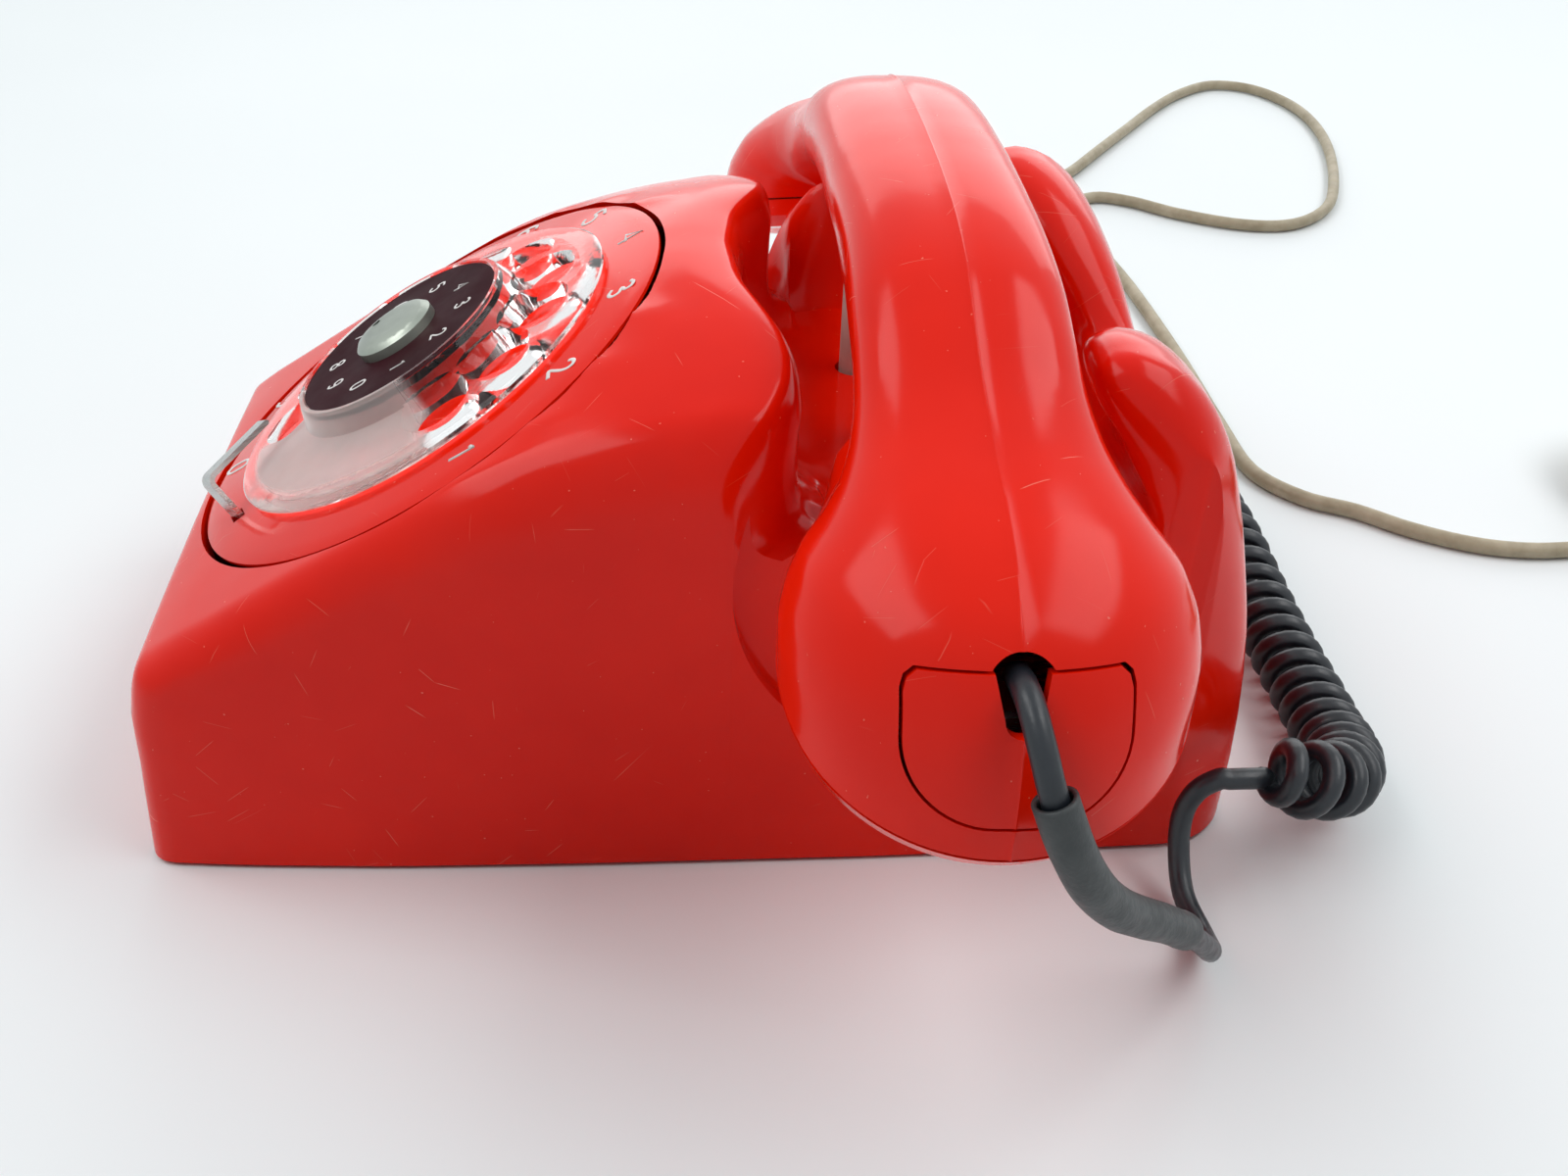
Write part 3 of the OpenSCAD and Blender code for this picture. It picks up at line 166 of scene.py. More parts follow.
def face_outwards(piece):
    """Turns the faces of a closed piece outwards."""
    mesh = bmesh.new()
    mesh.from_mesh(piece.data)
    bmesh.ops.recalc_face_normals(mesh, faces=mesh.faces)
    mesh.to_mesh(piece.data)
    mesh.free()


def tube_rings(line, radii, sides):
    """Rings of points around a line, without twist."""
    way = headings(line)
    ref = Vector((1, 0, 0)) if abs(way[0].z) > 0.8 else Vector((0, 0, 1))
    side = way[0].cross(ref).normalized()
    rings = []
    for p, t, r in zip(line, way, radii):
        side = (side - t * side.dot(t)).normalized()
        up = t.cross(side)
        rings.append([p + r * (math.cos(2 * math.pi * k / sides) * side
                               + math.sin(2 * math.pi * k / sides) * up) for k in range(sides)])
    return rings


def bands(base, count, sides):
    """Faces between the rings of a tube, whose first point has the index base."""
    return [(a + k, a + (k + 1) % sides, a + sides + (k + 1) % sides, a + sides + k)
            for a in range(base, base + (count - 1) * sides, sides) for k in range(sides)]


def tube_faces(base, count, sides):
    """The faces of a tube with closed ends."""
    last = base + (count - 1) * sides
    return bands(base, count, sides) + [tuple(range(base + sides - 1, base - 1, -1)),
                                        tuple(range(last, last + sides))]


def add_tube(name, line, radius, sides):
    """A closed round tube along a line."""
    rings = tube_rings(line, [radius] * len(line), sides)
    return add_mesh(name, [q for ring in rings for q in ring], tube_faces(0, len(line), sides))


def add_rod(start, end, radius, sides):
    """A plain round rod to cut with."""
    return add_tube("cut", [Vector(start), Vector(end)], radius, sides)


def carve(piece, cutter, operation="DIFFERENCE"):
    """Cuts one piece with another, and drops the cutter."""
    step = piece.modifiers.new("carve", "BOOLEAN")
    step.object, step.operation, step.solver = cutter, operation, "EXACT"
    bpy.context.view_layer.update()
    whole = piece.evaluated_get(bpy.context.evaluated_depsgraph_get())
    whole = bpy.data.meshes.new_from_object(whole)
    piece.modifiers.clear()
    piece.data = whole
    bpy.data.objects.remove(cutter)


def finish_edges(piece):
    """Shades a carved piece across its flatter edges only."""
    piece.data.shade_smooth()
    piece.data.set_sharp_from_angle(angle=SHARP_EDGE)


# ---- cords, in millimetres ----
# The routes run through the CAD nodes, but for the line cord's coil: it lies further along +Y
# than its CAD solid, out of the picture, and its tail meets the plug in its CAD place.
CORD_D = 4.0
CORD_R = CORD_D / 2
LEAD = [[109, 40, 82.7], [113, 40, 83.8], [117, 40.3, 83.4], [121, 41.3, 80], [124, 43.2, 73.5],
        [125.4, 46.2, 66], [124, 50.5, 57.5], [120, 56, 49], [115, 62, 41.5], [109.5, 68.5, 34],
        [104, 75, 26], [98.5, 81, 17], [92.5, 86, 8.4], [84, 88, 3.4], [75, 87, 4.2],
        [68.5, 87, 9.6], [65.6, 87.6, 15.6], [65, 89.6, 20.4], [65, 93, 23], [65, 95, 23],
        [65, 97, 23]]
CURLS = [[65, 97, 23], [65, 99, 23], [65, 101, 23], [65, 103, 23], [65, 105, 23],
         [64.3, 110, 21.9], [62, 115.5, 19.4], [57.8, 120.4, 16.4], [51.5, 124.2, 13.4],
         [44.5, 126.6, 11], [37.5, 127.3, 9.2], [26, 128, 8.2], [14, 128, 8], [0, 128, 8.2],
         [-14, 127.8, 9.4], [-28, 127.6, 11.2], [-42, 127.4, 11.8], [-56, 127.2, 10.8],
         [-70, 127, 9], [-82, 126.4, 8], [-86, 126, 8], [-90, 125.6, 8], [-94, 125.2, 8]]
TAIL = [[-94, 125.2, 8], [-96, 125, 8], [-100, 124.6, 8], [-105, 122.8, 7], [-111, 118, 4.8],
        [-115.5, 110.5, 3], [-116.5, 101, 2.4], [-113, 90.5, 2.6], [-105, 82, 3.6],
        [-95, 76, 5.6], [-84, 73, 7.6], [-73, 72, 8.8], [-66, 72, 9], [-62.5, 72, 9]]
LINE = [[-40, 106, 9], [-40, 109, 8.6], [-40, 114, 6], [-41, 120, 3], [-44, 128, 2.2],
        [-52, 136, 2.2], [-64, 140, 2.2], [-100, 141, 2.2], [-150, 138, 2.2], [-200, 134, 2.2],
        [-250, 128, 2.2], [-275, 128, 2.2], [-292, 137, 2.2], [-304, 150, 2.2], [-330, 168, 2.2],
        [-359, 188, 2.2], [-385, 206, 2.2], [-404, 222, 2.2], [-417, 240, 2.2], [-412, 257, 2.2],
        [-392, 267, 2.2], [-366, 269, 2.2], [-334, 264, 2.2], [-298, 253, 2.2], [-270, 240, 2.2],
        [-254, 222, 2.2], [-253, 203, 2.2], [-263, 182, 2.2], [-275, 167, 2.2], [-279, 154, 2.2],
        [-268, 143, 2.2], [-240, 143, 2.2], [-200, 147, 2.2], [-150, 149, 2.2], [-105, 149, 2.2],
        [-80, 150, 2.2], [-66, 159, 2.2], [-59, 171, 2.2], [-50, 182, 2.2], [-43, 195, 2.2],
        [-40, 208, 2.2], [-40.4, 222, 2.2], [-42, 233, 2.2], [-43, 242, 2.2], [-43, 250, 2.2],
        [-43, 257, 2.2], [-43, 259, 2.2]]
# The curls are a helix round their route. It opens at one end and closes at the other, in
# CURL_OPENS turns, and takes the route's heading from CURL_LOOK to either side.
CURL_R = 5.5
CURL_PITCH = 6.2
CURL_RINGS = 24
CURL_OPENS = 5 / 8
CURL_START = math.pi
CURL_LOOK = 2
# The pile is the line cord's coil, which climbs from layer to layer in PILE_CLIMB of a turn. Its
# tail counts from the coil's end.
PILE_OUT, PILE_AHEAD = 26, 6
PILE_STEP = CORD_D + 0.6
PILE_LOOPS = 8
PILE_LAYERS = 4
PILE_RINGS = 36
PILE_CLIMB = 0.5
PILE_TAIL = [[0, 3, -0.5], [0.5, 7, -2.4], [1.1, 11, -4.9], [1.4, 15, -6.8], [1.5, 17, -7.2],
             [1.5, 19, -7.2]]
# The shrunk sleeve runs between two points of the lead. It tightens from a share of its length
# on, has a collar at its end, and its gap to the cord holds up to a share of its length.
SLEEVE_FROM, SLEEVE_TO = 4, 10
SLEEVE_WALL, SLEEVE_WAVE = 1.25, 0.025
SLEEVE_TIGHTENS, SLEEVE_SHRINK = 0.55, 0.55
SLEEVE_COLLAR_AT, SLEEVE_COLLAR = 0.93, 0.12
SLEEVE_GAPS = [[0.1, 0.55], [0.9, 0.3], [2, 0.12]]


def curl_line():
    """The helix of the curly cord round its route, opening at one end and closing at the other."""
    route = smooth_line(CURLS, 6)
    along = [0]
    for a, b in zip(route, route[1:]):
        along.append(along[-1] + (b - a).length)
    total = along[-1]

    def at(s):
        """The point of the route at a length s along it."""
        s = clamp(s, 0, total)
        i = max(j for j in range(len(route) - 1) if along[j] <= s)
        return route[i].lerp(route[i + 1], min(1, (s - along[i]) / (along[i + 1] - along[i])))

    curls = math.floor((total - 2 * CORD_D) / CURL_PITCH)
    start = (total - curls * CURL_PITCH) / 2
    steps = curls * CURL_RINGS
    line = [at(0)]
    for i in range(steps + 1):
        s = start + i * CURL_PITCH / CURL_RINGS
        t = (at(s + CURL_LOOK) - at(s - CURL_LOOK)).normalized()
        side = t.cross(Vector((0, 0, 1))).normalized()
        up = side.cross(t)
        open_share = min(1, min(i, steps - i) / CURL_RINGS / CURL_OPENS)
        r = CURL_R * open_share
        a = CURL_START + 2 * math.pi * i / CURL_RINGS
        line.append(at(s) + r * (math.cos(a) * side + math.sin(a) * up))
    return line + [at(total)]


def pile_line():
    """The line cord's coil, whose layers spiral in and out in turn, and its tail to the plug."""
    per_layer = PILE_LOOPS / PILE_LAYERS
    middle = Vector(LINE[-1]) + Vector((-PILE_OUT, PILE_AHEAD, 0))
    line = []
    for i in range(PILE_LOOPS * PILE_RINGS + 1):
        turn = i / PILE_RINGS
        layer = min(PILE_LAYERS - 1, math.floor(turn / per_layer))
        w = turn - layer * per_layer
        r = PILE_OUT - PILE_STEP * (w if layer % 2 == 0 else per_layer - w)
        z = PILE_STEP * sum(clamp((turn - k * per_layer) / PILE_CLIMB + 0.5)
                            for k in range(1, PILE_LAYERS))
        a = 2 * math.pi * turn
        line.append(middle + Vector((r * math.cos(a), r * math.sin(a), z)))
    end = line[-1]
    return line + smooth_line([list(end)] + [list(end + Vector(p)) for p in PILE_TAIL], 3)[1:]


def add_handset_cord():
    """The handset's cord with its shrunk sleeve."""
    lead = smooth_line(LEAD, 6)
    tail = smooth_line(TAIL, 5)
    line = lead + curl_line()[1:-1] + tail
    cord = add_tube("handset_cord", line, CORD_R, 16)
    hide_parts("handset_cord_lead", "curly_cord", "handset_cord_tail")
    sleeve = add_sleeve()
    for piece in (cord, sleeve):
        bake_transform(piece)
    return cord, sleeve


def add_sleeve():
    """A length of shrunk sleeve: loose and open above, tight with a small collar below."""
    line = smooth_line(LEAD[SLEEVE_FROM:SLEEVE_TO + 1], 6)
    last = len(line) - 1
    sides = 24
    outer, inner = [], []
    for i in range(last + 1):
        t = i / last
        wave = SLEEVE_WAVE * math.sin(7 * t) * math.sin(23 * t)
        shrunk = SLEEVE_SHRINK * max(0, t - SLEEVE_TIGHTENS)
        collar = SLEEVE_COLLAR if t > SLEEVE_COLLAR_AT else 0
        outer.append(CORD_R + SLEEVE_WALL + wave - shrunk + collar)
        inner.append(CORD_R + next(gap for end, gap in SLEEVE_GAPS if t < end))
    out_rings = tube_rings(line, outer, sides)
    in_rings = tube_rings(line, inner, sides)
    n = len(line) * sides
    faces = []
    for i in range(last):
        for k in range(sides):
            a, b = i * sides + k, i * sides + (k + 1) % sides
            faces.append((a, b, b + sides, a + sides))
            faces.append((n + a, n + a + sides, n + b + sides, n + b))
    for k in range(sides):
        a, b = k, (k + 1) % sides
        faces.append((a, n + a, n + b, b))
        c, d = last * sides + a, last * sides + b
        faces.append((c, d, n + d, n + c))
    sleeve = add_mesh("shrink_sleeve", [q for ring in out_rings + in_rings for q in ring], faces)
    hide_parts("cord_sleeve")
    return sleeve


def add_line_cord():
    """The line cord from the housing's back to the plug."""
    line = smooth_line(LINE, 5) + pile_line()
    cord = add_tube("line_cord_tube", line, CORD_R, 14)
    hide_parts("line_cord", "line_cord_coil")
    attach(cord, "base")
    return cord


handset_cord, shrink_sleeve = add_handset_cord()
line_cord = add_line_cord()


# ---- sizes shared with the CAD nodes, in millimetres ----
BODY_W, BODY_D, BODY_H = 120, 206, 100.6
FRONT_Y, REAR_Y = -BODY_D / 2, BODY_D / 2
CRADLE_Y = REAR_Y - 63
FLOOR_Z = BODY_H - 34.6
RIM_H = 1
WALL = 3
LIP_H = 44
TILT = math.radians(31.2)
DIAL_Y = FRONT_Y + 51.2
DIAL_Z = LIP_H + 47.1 * math.tan(TILT) + 0.4
OPENING_R = 52.8


def on_dial(x, y, z):
    """A point of the dial's own frame, whose XY plane is the dial face."""
    return Vector((x, DIAL_Y + y * math.cos(TILT) - z * math.sin(TILT),
                   DIAL_Z + y * math.sin(TILT) + z * math.cos(TILT)))


# ---- housing ----
# The housing is a row of lengthwise ribs, from one side to the other. A rib lies at s, from 0 in
# the middle to RIB_END at the side. Heights of the cradle's tables count from its floor.
RIB_END = 59
RIBS = [0, 2, 4, 6, 8, 9.5, 11, 12.5, 14, 15.5, 17, 18.5, 20, 21.5, 23, 25, 27, 29, 31, 33, 35, 37,
        39, 41, 42.5, 44, 45, 46, 47, 48, 49, 50, 51, 52, 53, 54, 55, 55.75, 56.5, 57.1, 57.7,
        58.2, 58.6, 59]
RIB_STEPS = 3
EAR_EDGE = 48
INNER_SIDE = 4.6
REAR_CORNER, FRONT_CORNER = 15, 5
# How far the side stands in, and the fillet along the top's side, by the distance from the front.
SIDE_IN = [[0, 3.4], [18, 1.8], [45, 0.5], [80, 0], [135, 0], [185, 1], [206, 2]]
FILLETS = [[0, 5], [30, 12], [60, 14]]
FILLET_AT, FILLET_W, FILLET_STEEP = 51, 8, 0.98
# How the top falls away round the dial, and how softly it meets the level part behind.
CROWN_FALL, CROWN_BEND, CROWN_SOFT = 0.38, 0.003, 1.6
LEVEL_FALL = 0.004
# By s: the saddle's height, how far the cradle's front edge lies before the cradle's middle, and
# how much of an ear a rib has.
SADDLE = [[44, 0], [47, 14], [50, 26.3], [53, 24.9], [55.5, 23.6], [57.7, 22.3], [59, 20.8],
          [62, 18]]
EDGE_SETBACK = [[0, 33.5], [15, 32], [22, 29.5], [30, 26.5], [36, 24.7], [43, 24.7], [48, 26.5],
                [53, 29.5], [57, 35.5], [59, 37]]
EAR_SHARE = [[0, 0], [9, 0.04], [12, 0.12], [15.5, 0.25], [19, 0.45], [25, 0.7], [30, 0.85],
             [35, 0.93], [40, 1], [59, 1]]
# The back of a rib through an ear, through the gap between the ears and at the side.
EAR = [[30, 0.5], [35.4, 3.5], [34.6, 8.5], [31, 15.5], [27.8, 21], [23.5, 27.5], [22.8, 31.5],
       [26, 34.4], [33, 33.8], [41, 28.5], [47, 20], [51.5, 8], [55.5, -6], [59, -21], [62, -51]]
GAP = [[30, 0.5], [34.5, 2], [36.5, 5], [38.5, 7], [40.5, 7.8], [42.5, 8], [44.5, 8], [46.5, 8],
       [48.3, 7.6], [49.8, 6], [51, 3], [52.5, -2], [55.5, -8], [59, -21], [62, -51]]
SIDE = [[28, 2], [33, 3.2], [35.5, 5.5], [36.6, 9], [37.2, 13], [37.8, 16.5], [38.6, 19],
        [40, 20.4], [41.6, 20], [43, 18], [44.4, 14], [45.6, 8], [46.6, -4], [47.2, -20],
        [47.8, -45]]
# The ears are solid: the inner skin stays below this height over the cradle's floor.
INNER_TOP = 8
PLUNGER_X, PLUNGER_Y, PLUNGER_HOLE_R = 15, -8, 3.8
CORD_HOLE_Z, CORD_HOLE_R = 9, 3.6
LINE_HOLE_X, HANDSET_HOLE_Y = -40, 72
SIDE_HOLLOW_R, SIDE_HOLLOW_IN, SIDE_HOLLOW_DROP = 36, 3, 4


def side_w(y):
    """Half the body's width at y."""
    return BODY_W / 2 - table(SIDE_IN, y - FRONT_Y, 6)


def top_z(s, y):
    """Height of the crowned top, which follows the dial face and falls away round the dial."""
    v = (y - DIAL_Y) / math.cos(TILT)
    d = max(0, math.hypot(s, v) - OPENING_R)
    behind = clamp((v + 10) / 40, 0.12, 1)  # the top falls away less before the dial
    across = clamp((s - FILLET_AT) / FILLET_W)
    fillet = table(FILLETS, y - FRONT_Y, 6)
    crown = DIAL_Z + v * math.sin(TILT) - behind * (CROWN_FALL * d + CROWN_BEND * d * d)
    level = BODY_H - LEVEL_FALL * s
    low = min(crown, level) - CROWN_SOFT * math.exp(-abs(crown - level) / CROWN_SOFT) * 0.5
    return low - fillet * (1 - math.sqrt(1 - FILLET_STEEP * across * across))


def corner_in(s, r):
    """How far an upright corner of radius r stands in at a rib."""
    over = max(0, s - (RIB_END - r))
    return r - math.sqrt(r * r - over * over)


def outline(s, inner):
    """A rib's outline as [y, z], from the front rim over the top to the rear rim."""
    f = FRONT_Y + corner_in(s, FRONT_CORNER)
    lip = top_z(s, f + 6)
    edge_y = CRADLE_Y - table(EDGE_SETBACK, s, 3)
    edge_z = top_z(s, edge_y)
    drop = edge_z - 4 - FLOOR_Z
    bump = 0 if inner else table(SADDLE, s, 1.2)
    out = clamp((s - EAR_EDGE) / (RIB_END - EAR_EDGE)) ** 2.2
    share = 0 if inner else table(EAR_SHARE, s, 4)
    rear = [mixed(mixed(g, e, share), a, out) for g, e, a in zip(GAP, EAR, SIDE)]
    top_ys = (f + 7 + (edge_y - 5 - f - 7) * i / 11 for i in range(12))
    front = [[f, RIM_H], [f + 1.6, lip * 0.52], [f + 3.3, lip - 4.6], [f + 4.6, lip - 1.3]]
    top = [[y, top_z(s, y)] for y in top_ys]
    edge = [[edge_y - 1.8, edge_z - 0.9], [edge_y, edge_z - 4],
            [edge_y + 0.4, FLOOR_Z + 0.5 * drop], [edge_y + 1.6, FLOOR_Z + 0.15 * drop],
            [edge_y + 6, FLOOR_Z + 0.6]]
    cradle = [[CRADLE_Y + y, FLOOR_Z + bump * k]
              for y, k in ((-19, 0.7), (-12, 1), (-4, 1), (4, 1), (12, 1), (19, 0.1))]
    back = [[CRADLE_Y + y, FLOOR_Z + (min(z, INNER_TOP) if inner else z)] for y, z in rear]
    return front + top + edge + cradle + back + [[REAR_Y - corner_in(s, REAR_CORNER), RIM_H]]


def inset(line, t):
    """An outline moved into the wall."""
    p = [Vector(q) for q in line]
    last = len(p) - 1
    moved = []
    for i, b in enumerate(p):
        u = ((p[1] - b) if i == 0 else (b - p[i - 1])).normalized()
        w = u if i == last else (p[i + 1] - b).normalized()
        n = Vector((u.y + w.y, -u.x - w.x)).normalized()
        far = t / max(0.55, n.dot(Vector((u.y, -u.x))))
        moved.append([b.x + n.x * far, RIM_H if i in (0, last) else b.y + n.y * far])
    return moved


def rib_rows(inner):
    """The points of the outer or inner skin, one row to a rib."""
    k = 1 - INNER_SIDE / RIB_END if inner else 1
    rows = []
    for s in [-s for s in RIBS[:0:-1]] + RIBS:
        line = outline(abs(s), inner)
        if inner:
            line = inset(line, WALL)
            line = [mixed(a, b, i / RIB_STEPS) for a, b in zip(line, line[1:])
                    for i in range(RIB_STEPS)] + [line[-1]]
        else:
            line = eased(line, RIB_STEPS)
        rows.append([Vector((s * k * side_w(y) / RIB_END, y, z)) for y, z in line])
    return rows


def cut_housing(piece):
    """Opens the dial, the plungers' and the cords' holes, and hollows the sides of the cradle."""
    carve(piece, add_rod(on_dial(0, 0, -9), on_dial(0, 0, 11), OPENING_R, 128))
    y = CRADLE_Y + PLUNGER_Y
    for x in (-PLUNGER_X, PLUNGER_X):
        carve(piece, add_rod((x, y, FLOOR_Z - 9), (x, y, FLOOR_Z + 5), PLUNGER_HOLE_R, 32))
    z = FLOOR_Z - SIDE_HOLLOW_DROP
    for side in (-1, 1):
        x = side * (BODY_W / 2 - SIDE_HOLLOW_IN)
        carve(piece, add_rod((x, CRADLE_Y, z), (x + side * 10, CRADLE_Y, z), SIDE_HOLLOW_R, 96))
    x, y, z = LINE_HOLE_X, REAR_Y - 12, CORD_HOLE_Z
    carve(piece, add_rod((x, y, z), (x, y + 20, z), CORD_HOLE_R, 32))
    x, y = -BODY_W / 2 + 12, HANDSET_HOLE_Y
    carve(piece, add_rod((x, y, z), (x - 20, y, z), CORD_HOLE_R, 32))


def add_housing():
    """The moulded housing: dial face, cradle and ears in one shell with an open underside."""
    skins = [rib_rows(False), rib_rows(True)]
    n, m = len(skins[0][0]), len(skins[0])
    points, faces, rims = [], [], []
    for rows, flip in zip(skins, (False, True)):
        base = len(points)
        points += [q for row in rows for q in row]
        # Each skin's outermost ribs are closed down to the rim.
        feet = []
        for row in (rows[0], rows[-1]):
            feet.append(len(points))
            points += [Vector((q.x, q.y, RIM_H)) for q in row[1:-1]]
        new = []
        for j in range(m - 1):
            for i in range(n - 1):
                a, b = base + j * n + i, base + (j + 1) * n + i
                new.append((a, b, b + 1, a + 1))
        for top, foot, turn in ((base, feet[0], False), (base + (m - 1) * n, feet[1], True)):
            for i in range(n - 1):
                a, b = top + i, top + i + 1
                d = a if i == 0 else foot + i - 1
                c = b if i == n - 2 else foot + i
                face = [a, b] + ([c] if c != b else []) + ([d] if d != a else [])
                new.append(tuple(reversed(face)) if turn else tuple(face))
        faces += [tuple(reversed(f)) for f in new] if flip else new
        rims.append([base + j * n for j in range(m)] + [feet[1] + i for i in range(n - 2)]
                    + [base + j * n + n - 1 for j in range(m - 1, -1, -1)]
                    + [feet[0] + i for i in range(n - 3, -1, -1)])
    # The rim joins the two skins.
    for i in range(len(rims[0])):
        k = (i + 1) % len(rims[0])
        faces.append((rims[0][i], rims[1][i], rims[1][k], rims[0][k]))
    piece = add_mesh("housing_shell", points, faces)
    face_outwards(piece)
    cut_housing(piece)
    finish_edges(piece)
    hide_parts("housing")
    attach(piece, "base")
    return piece


# ---- handset ----
HANDSET_L = 239
REACH = HANDSET_L / 2 - 119.6
REACH_FROM = 55
CUP_R, GRIP_W, SHELL_T = 31, 17, 2.6
# Each section's top and bottom as [x, z], its bulge from the grip's width towards the cup's, and
# the exponent of its superellipse.
SECTIONS = [
    [[0, 120.78], [0, 99.5], 0, 2.7], [[20, 120.2], [19, 98.8], 0, 2.7],
    [[35, 118.7], [33, 97.3], 0.2, 2.7], [[47, 116], [43, 95.3], 0.5, 2.6],
    [[57, 111.8], [50.5, 92.8], 0.6, 2.5], [[68, 106.3], [56, 90.2], 1.1, 2.4],
    [[79, 102.2], [59.5, 88], 2.4, 2.3], [[90, 99], [61.5, 86.4], 4.4, 2.2],
    [[101, 94.8], [62.6, 85.2], 7.4, 2.1], [[110, 88.5], [63.1, 84.6], 10.9, 2.05],
    [[116, 79.5], [63.3, 84.35], 13.2, 2], [[119, 69.5], [63.4, 84.2], 14.1, 2],
    [[119.6, 58.2], [63.4, 84.1], 14, 2]]
SECTION_STEPS = 4
# What bulge and exponent are multiplied by, so that they weigh like lengths in the easing.
BULGE_WEIGHT, SQUARE_WEIGHT = 3, 10
CUP_BULGE, FULL_BULGE = 12, 14
LOOP = 74
SEAM_W, SEAM_H = 0.4, 0.22
END_LEAN = math.radians(15)
END_AT = Vector((116 + REACH, CRADLE_Y, 74.6))
PLUG_W, PLUG_H, PLUG_ROUND, PLUG_DEPTH, PLUG_GAP = 32.5, 23.3, 13.5, 9, 0.5
PLUG_CUT = 11
NOTCH_W, NOTCH_H, NOTCH_R = 7.6, 9, 2.5
LEAD_HOLE_R, LEAD_HOLE_DROP = 5, 2.6


def on_handset_end(x, y, z):
    """A point of the handset's end face: x across, y up the face, z out of it."""
    up = Vector((-math.sin(END_LEAN), 0, math.cos(END_LEAN)))
    out = Vector((math.cos(END_LEAN), 0, math.sin(END_LEAN)))
    return END_AT + Vector((0, x, 0)) + y * up + z * out


def section_loop(section, side, t):
    """The ring of points of one section, on one side of the middle and t inside the surface."""
    top_x, top_z, low_x, low_z, bulge, square = section
    shift = REACH * min(1, top_x / REACH_FROM)
    a, b = Vector((top_x + shift, top_z)), Vector((low_x + shift, low_z))
    u = (a - b).normalized()
    mid = (a + b) / 2
    high = (a - b).length / 2 - t
    if bulge > CUP_BULGE:
        wide = CUP_R + bulge - FULL_BULGE - t
    else:
        wide = GRIP_W + bulge * (CUP_R - GRIP_W) / FULL_BULGE - t
    ring = []
    angles = [2 * math.pi * i / (LOOP - 2) for i in range(LOOP - 2)]
    beside = (SEAM_W / wide) ** (square / 2)
    for q in [0, beside] + angles[1:] + [-beside]:
        c = math.copysign(abs(math.cos(q)) ** (2 / square), math.cos(q))
        s = math.copysign(abs(math.sin(q)) ** (2 / square), math.sin(q))
        p = mid + u * (high * c + (SEAM_H if q == 0 and t == 0 else 0))
        ring.append(Vector((side * p.x, CRADLE_Y + wide * s, p.y)))
    return ring


def add_handset_skin(name):
    """The handset's shell: a hollow loft from cup to cup over the handle."""
    tops = eased([(*s[0], 0) for s in SECTIONS], SECTION_STEPS)
    lows = eased([(*s[1], 0) for s in SECTIONS], SECTION_STEPS)
    # The first number grows from row to row, so that no two points of this curve fall together.
    forms = eased([(0.9 * s[0][0] + 0.2 * i, BULGE_WEIGHT * s[2], SQUARE_WEIGHT * s[3])
                   for i, s in enumerate(SECTIONS)], SECTION_STEPS)
    rows = [[a.x, a.y, b.x, b.y, f.y / BULGE_WEIGHT, f.z / SQUARE_WEIGHT]
            for a, b, f in zip(tops, lows, forms)]
    points, faces, ends = [], [], []
    for t, flip in ((0, False), (SHELL_T, True)):
        base = len(points)
        loops = [section_loop(r, -1, t) for r in rows[:0:-1]]
        loops += [section_loop(r, 1, t) for r in rows]
        points += [q for loop in loops for q in loop]
        faces += [tuple(reversed(face)) if flip else face
                  for face in bands(base, len(loops), LOOP)]
        ends.append((base, base + (len(loops) - 1) * LOOP))
    for a, b in zip(*ends):
        for i in range(LOOP):
            k = (i + 1) % LOOP
            faces.append((a + i, a + k, b + k, b + i))
    piece = add_mesh(name, points, faces)
    face_outwards(piece)
    return piece


def plug_outline(grow, notch):
    """Flat-topped outline with round lower corners, with the cord's tapered slot if asked."""
    w, h, r = PLUG_W / 2 + grow, PLUG_H / 2 + grow, PLUG_ROUND + grow
    turn = [math.radians(a) for a in range(180, 271, 6)]
    line = [(-w, h - 3), (-w + 0.5, h - 1.2), (-w + 1.8, h)]
    if notch:
        line += [(-NOTCH_W / 2, h)]
        line += [(NOTCH_R * math.cos(a), PLUG_H / 2 - NOTCH_H + NOTCH_R + NOTCH_R * math.sin(a))
                 for a in (math.radians(d) for d in range(180, 361, 15))]
        line += [(NOTCH_W / 2, h)]
    line += [(w - 1.8, h), (w - 0.5, h - 1.2), (w, h - 3)]
    line += [(w - r - r * math.cos(a), -h + r + r * math.sin(a)) for a in turn]
    line += [(-w + r + r * math.cos(a), -h + r + r * math.sin(a)) for a in reversed(turn)][1:]
    return line


def add_prism(line):
    """A straight block over an outline on the handset's end, to cut with."""
    n = len(line)
    points = [on_handset_end(x, y, z) for z in (-PLUG_DEPTH, PLUG_CUT) for x, y in line]
    faces = [tuple(range(n - 1, -1, -1)), tuple(range(n, 2 * n))]
    faces += [(i, (i + 1) % n, n + (i + 1) % n, n + i) for i in range(n)]
    piece = add_mesh("cut", points, faces)
    face_outwards(piece)
    return piece


def add_handset():
    """The handset's shell and the D-shaped plug in its end, cut from the same form."""
    shell = add_handset_skin("handset_body")
    carve(shell, add_prism(plug_outline(0, False)))
    y = PLUG_H / 2 - LEAD_HOLE_DROP
    carve(shell, add_rod(on_handset_end(0, y, -PLUG_DEPTH), on_handset_end(0, y, PLUG_CUT),
                         LEAD_HOLE_R, 48))
    plug = add_handset_skin("end_plug")
    carve(plug, add_prism(plug_outline(-PLUG_GAP, True)), "INTERSECT")
    for piece, node in ((shell, "handset_shell"), (plug, "handset_end_plug")):
        finish_edges(piece)
        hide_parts(node)
        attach(piece, "handset")
    return shell, plug


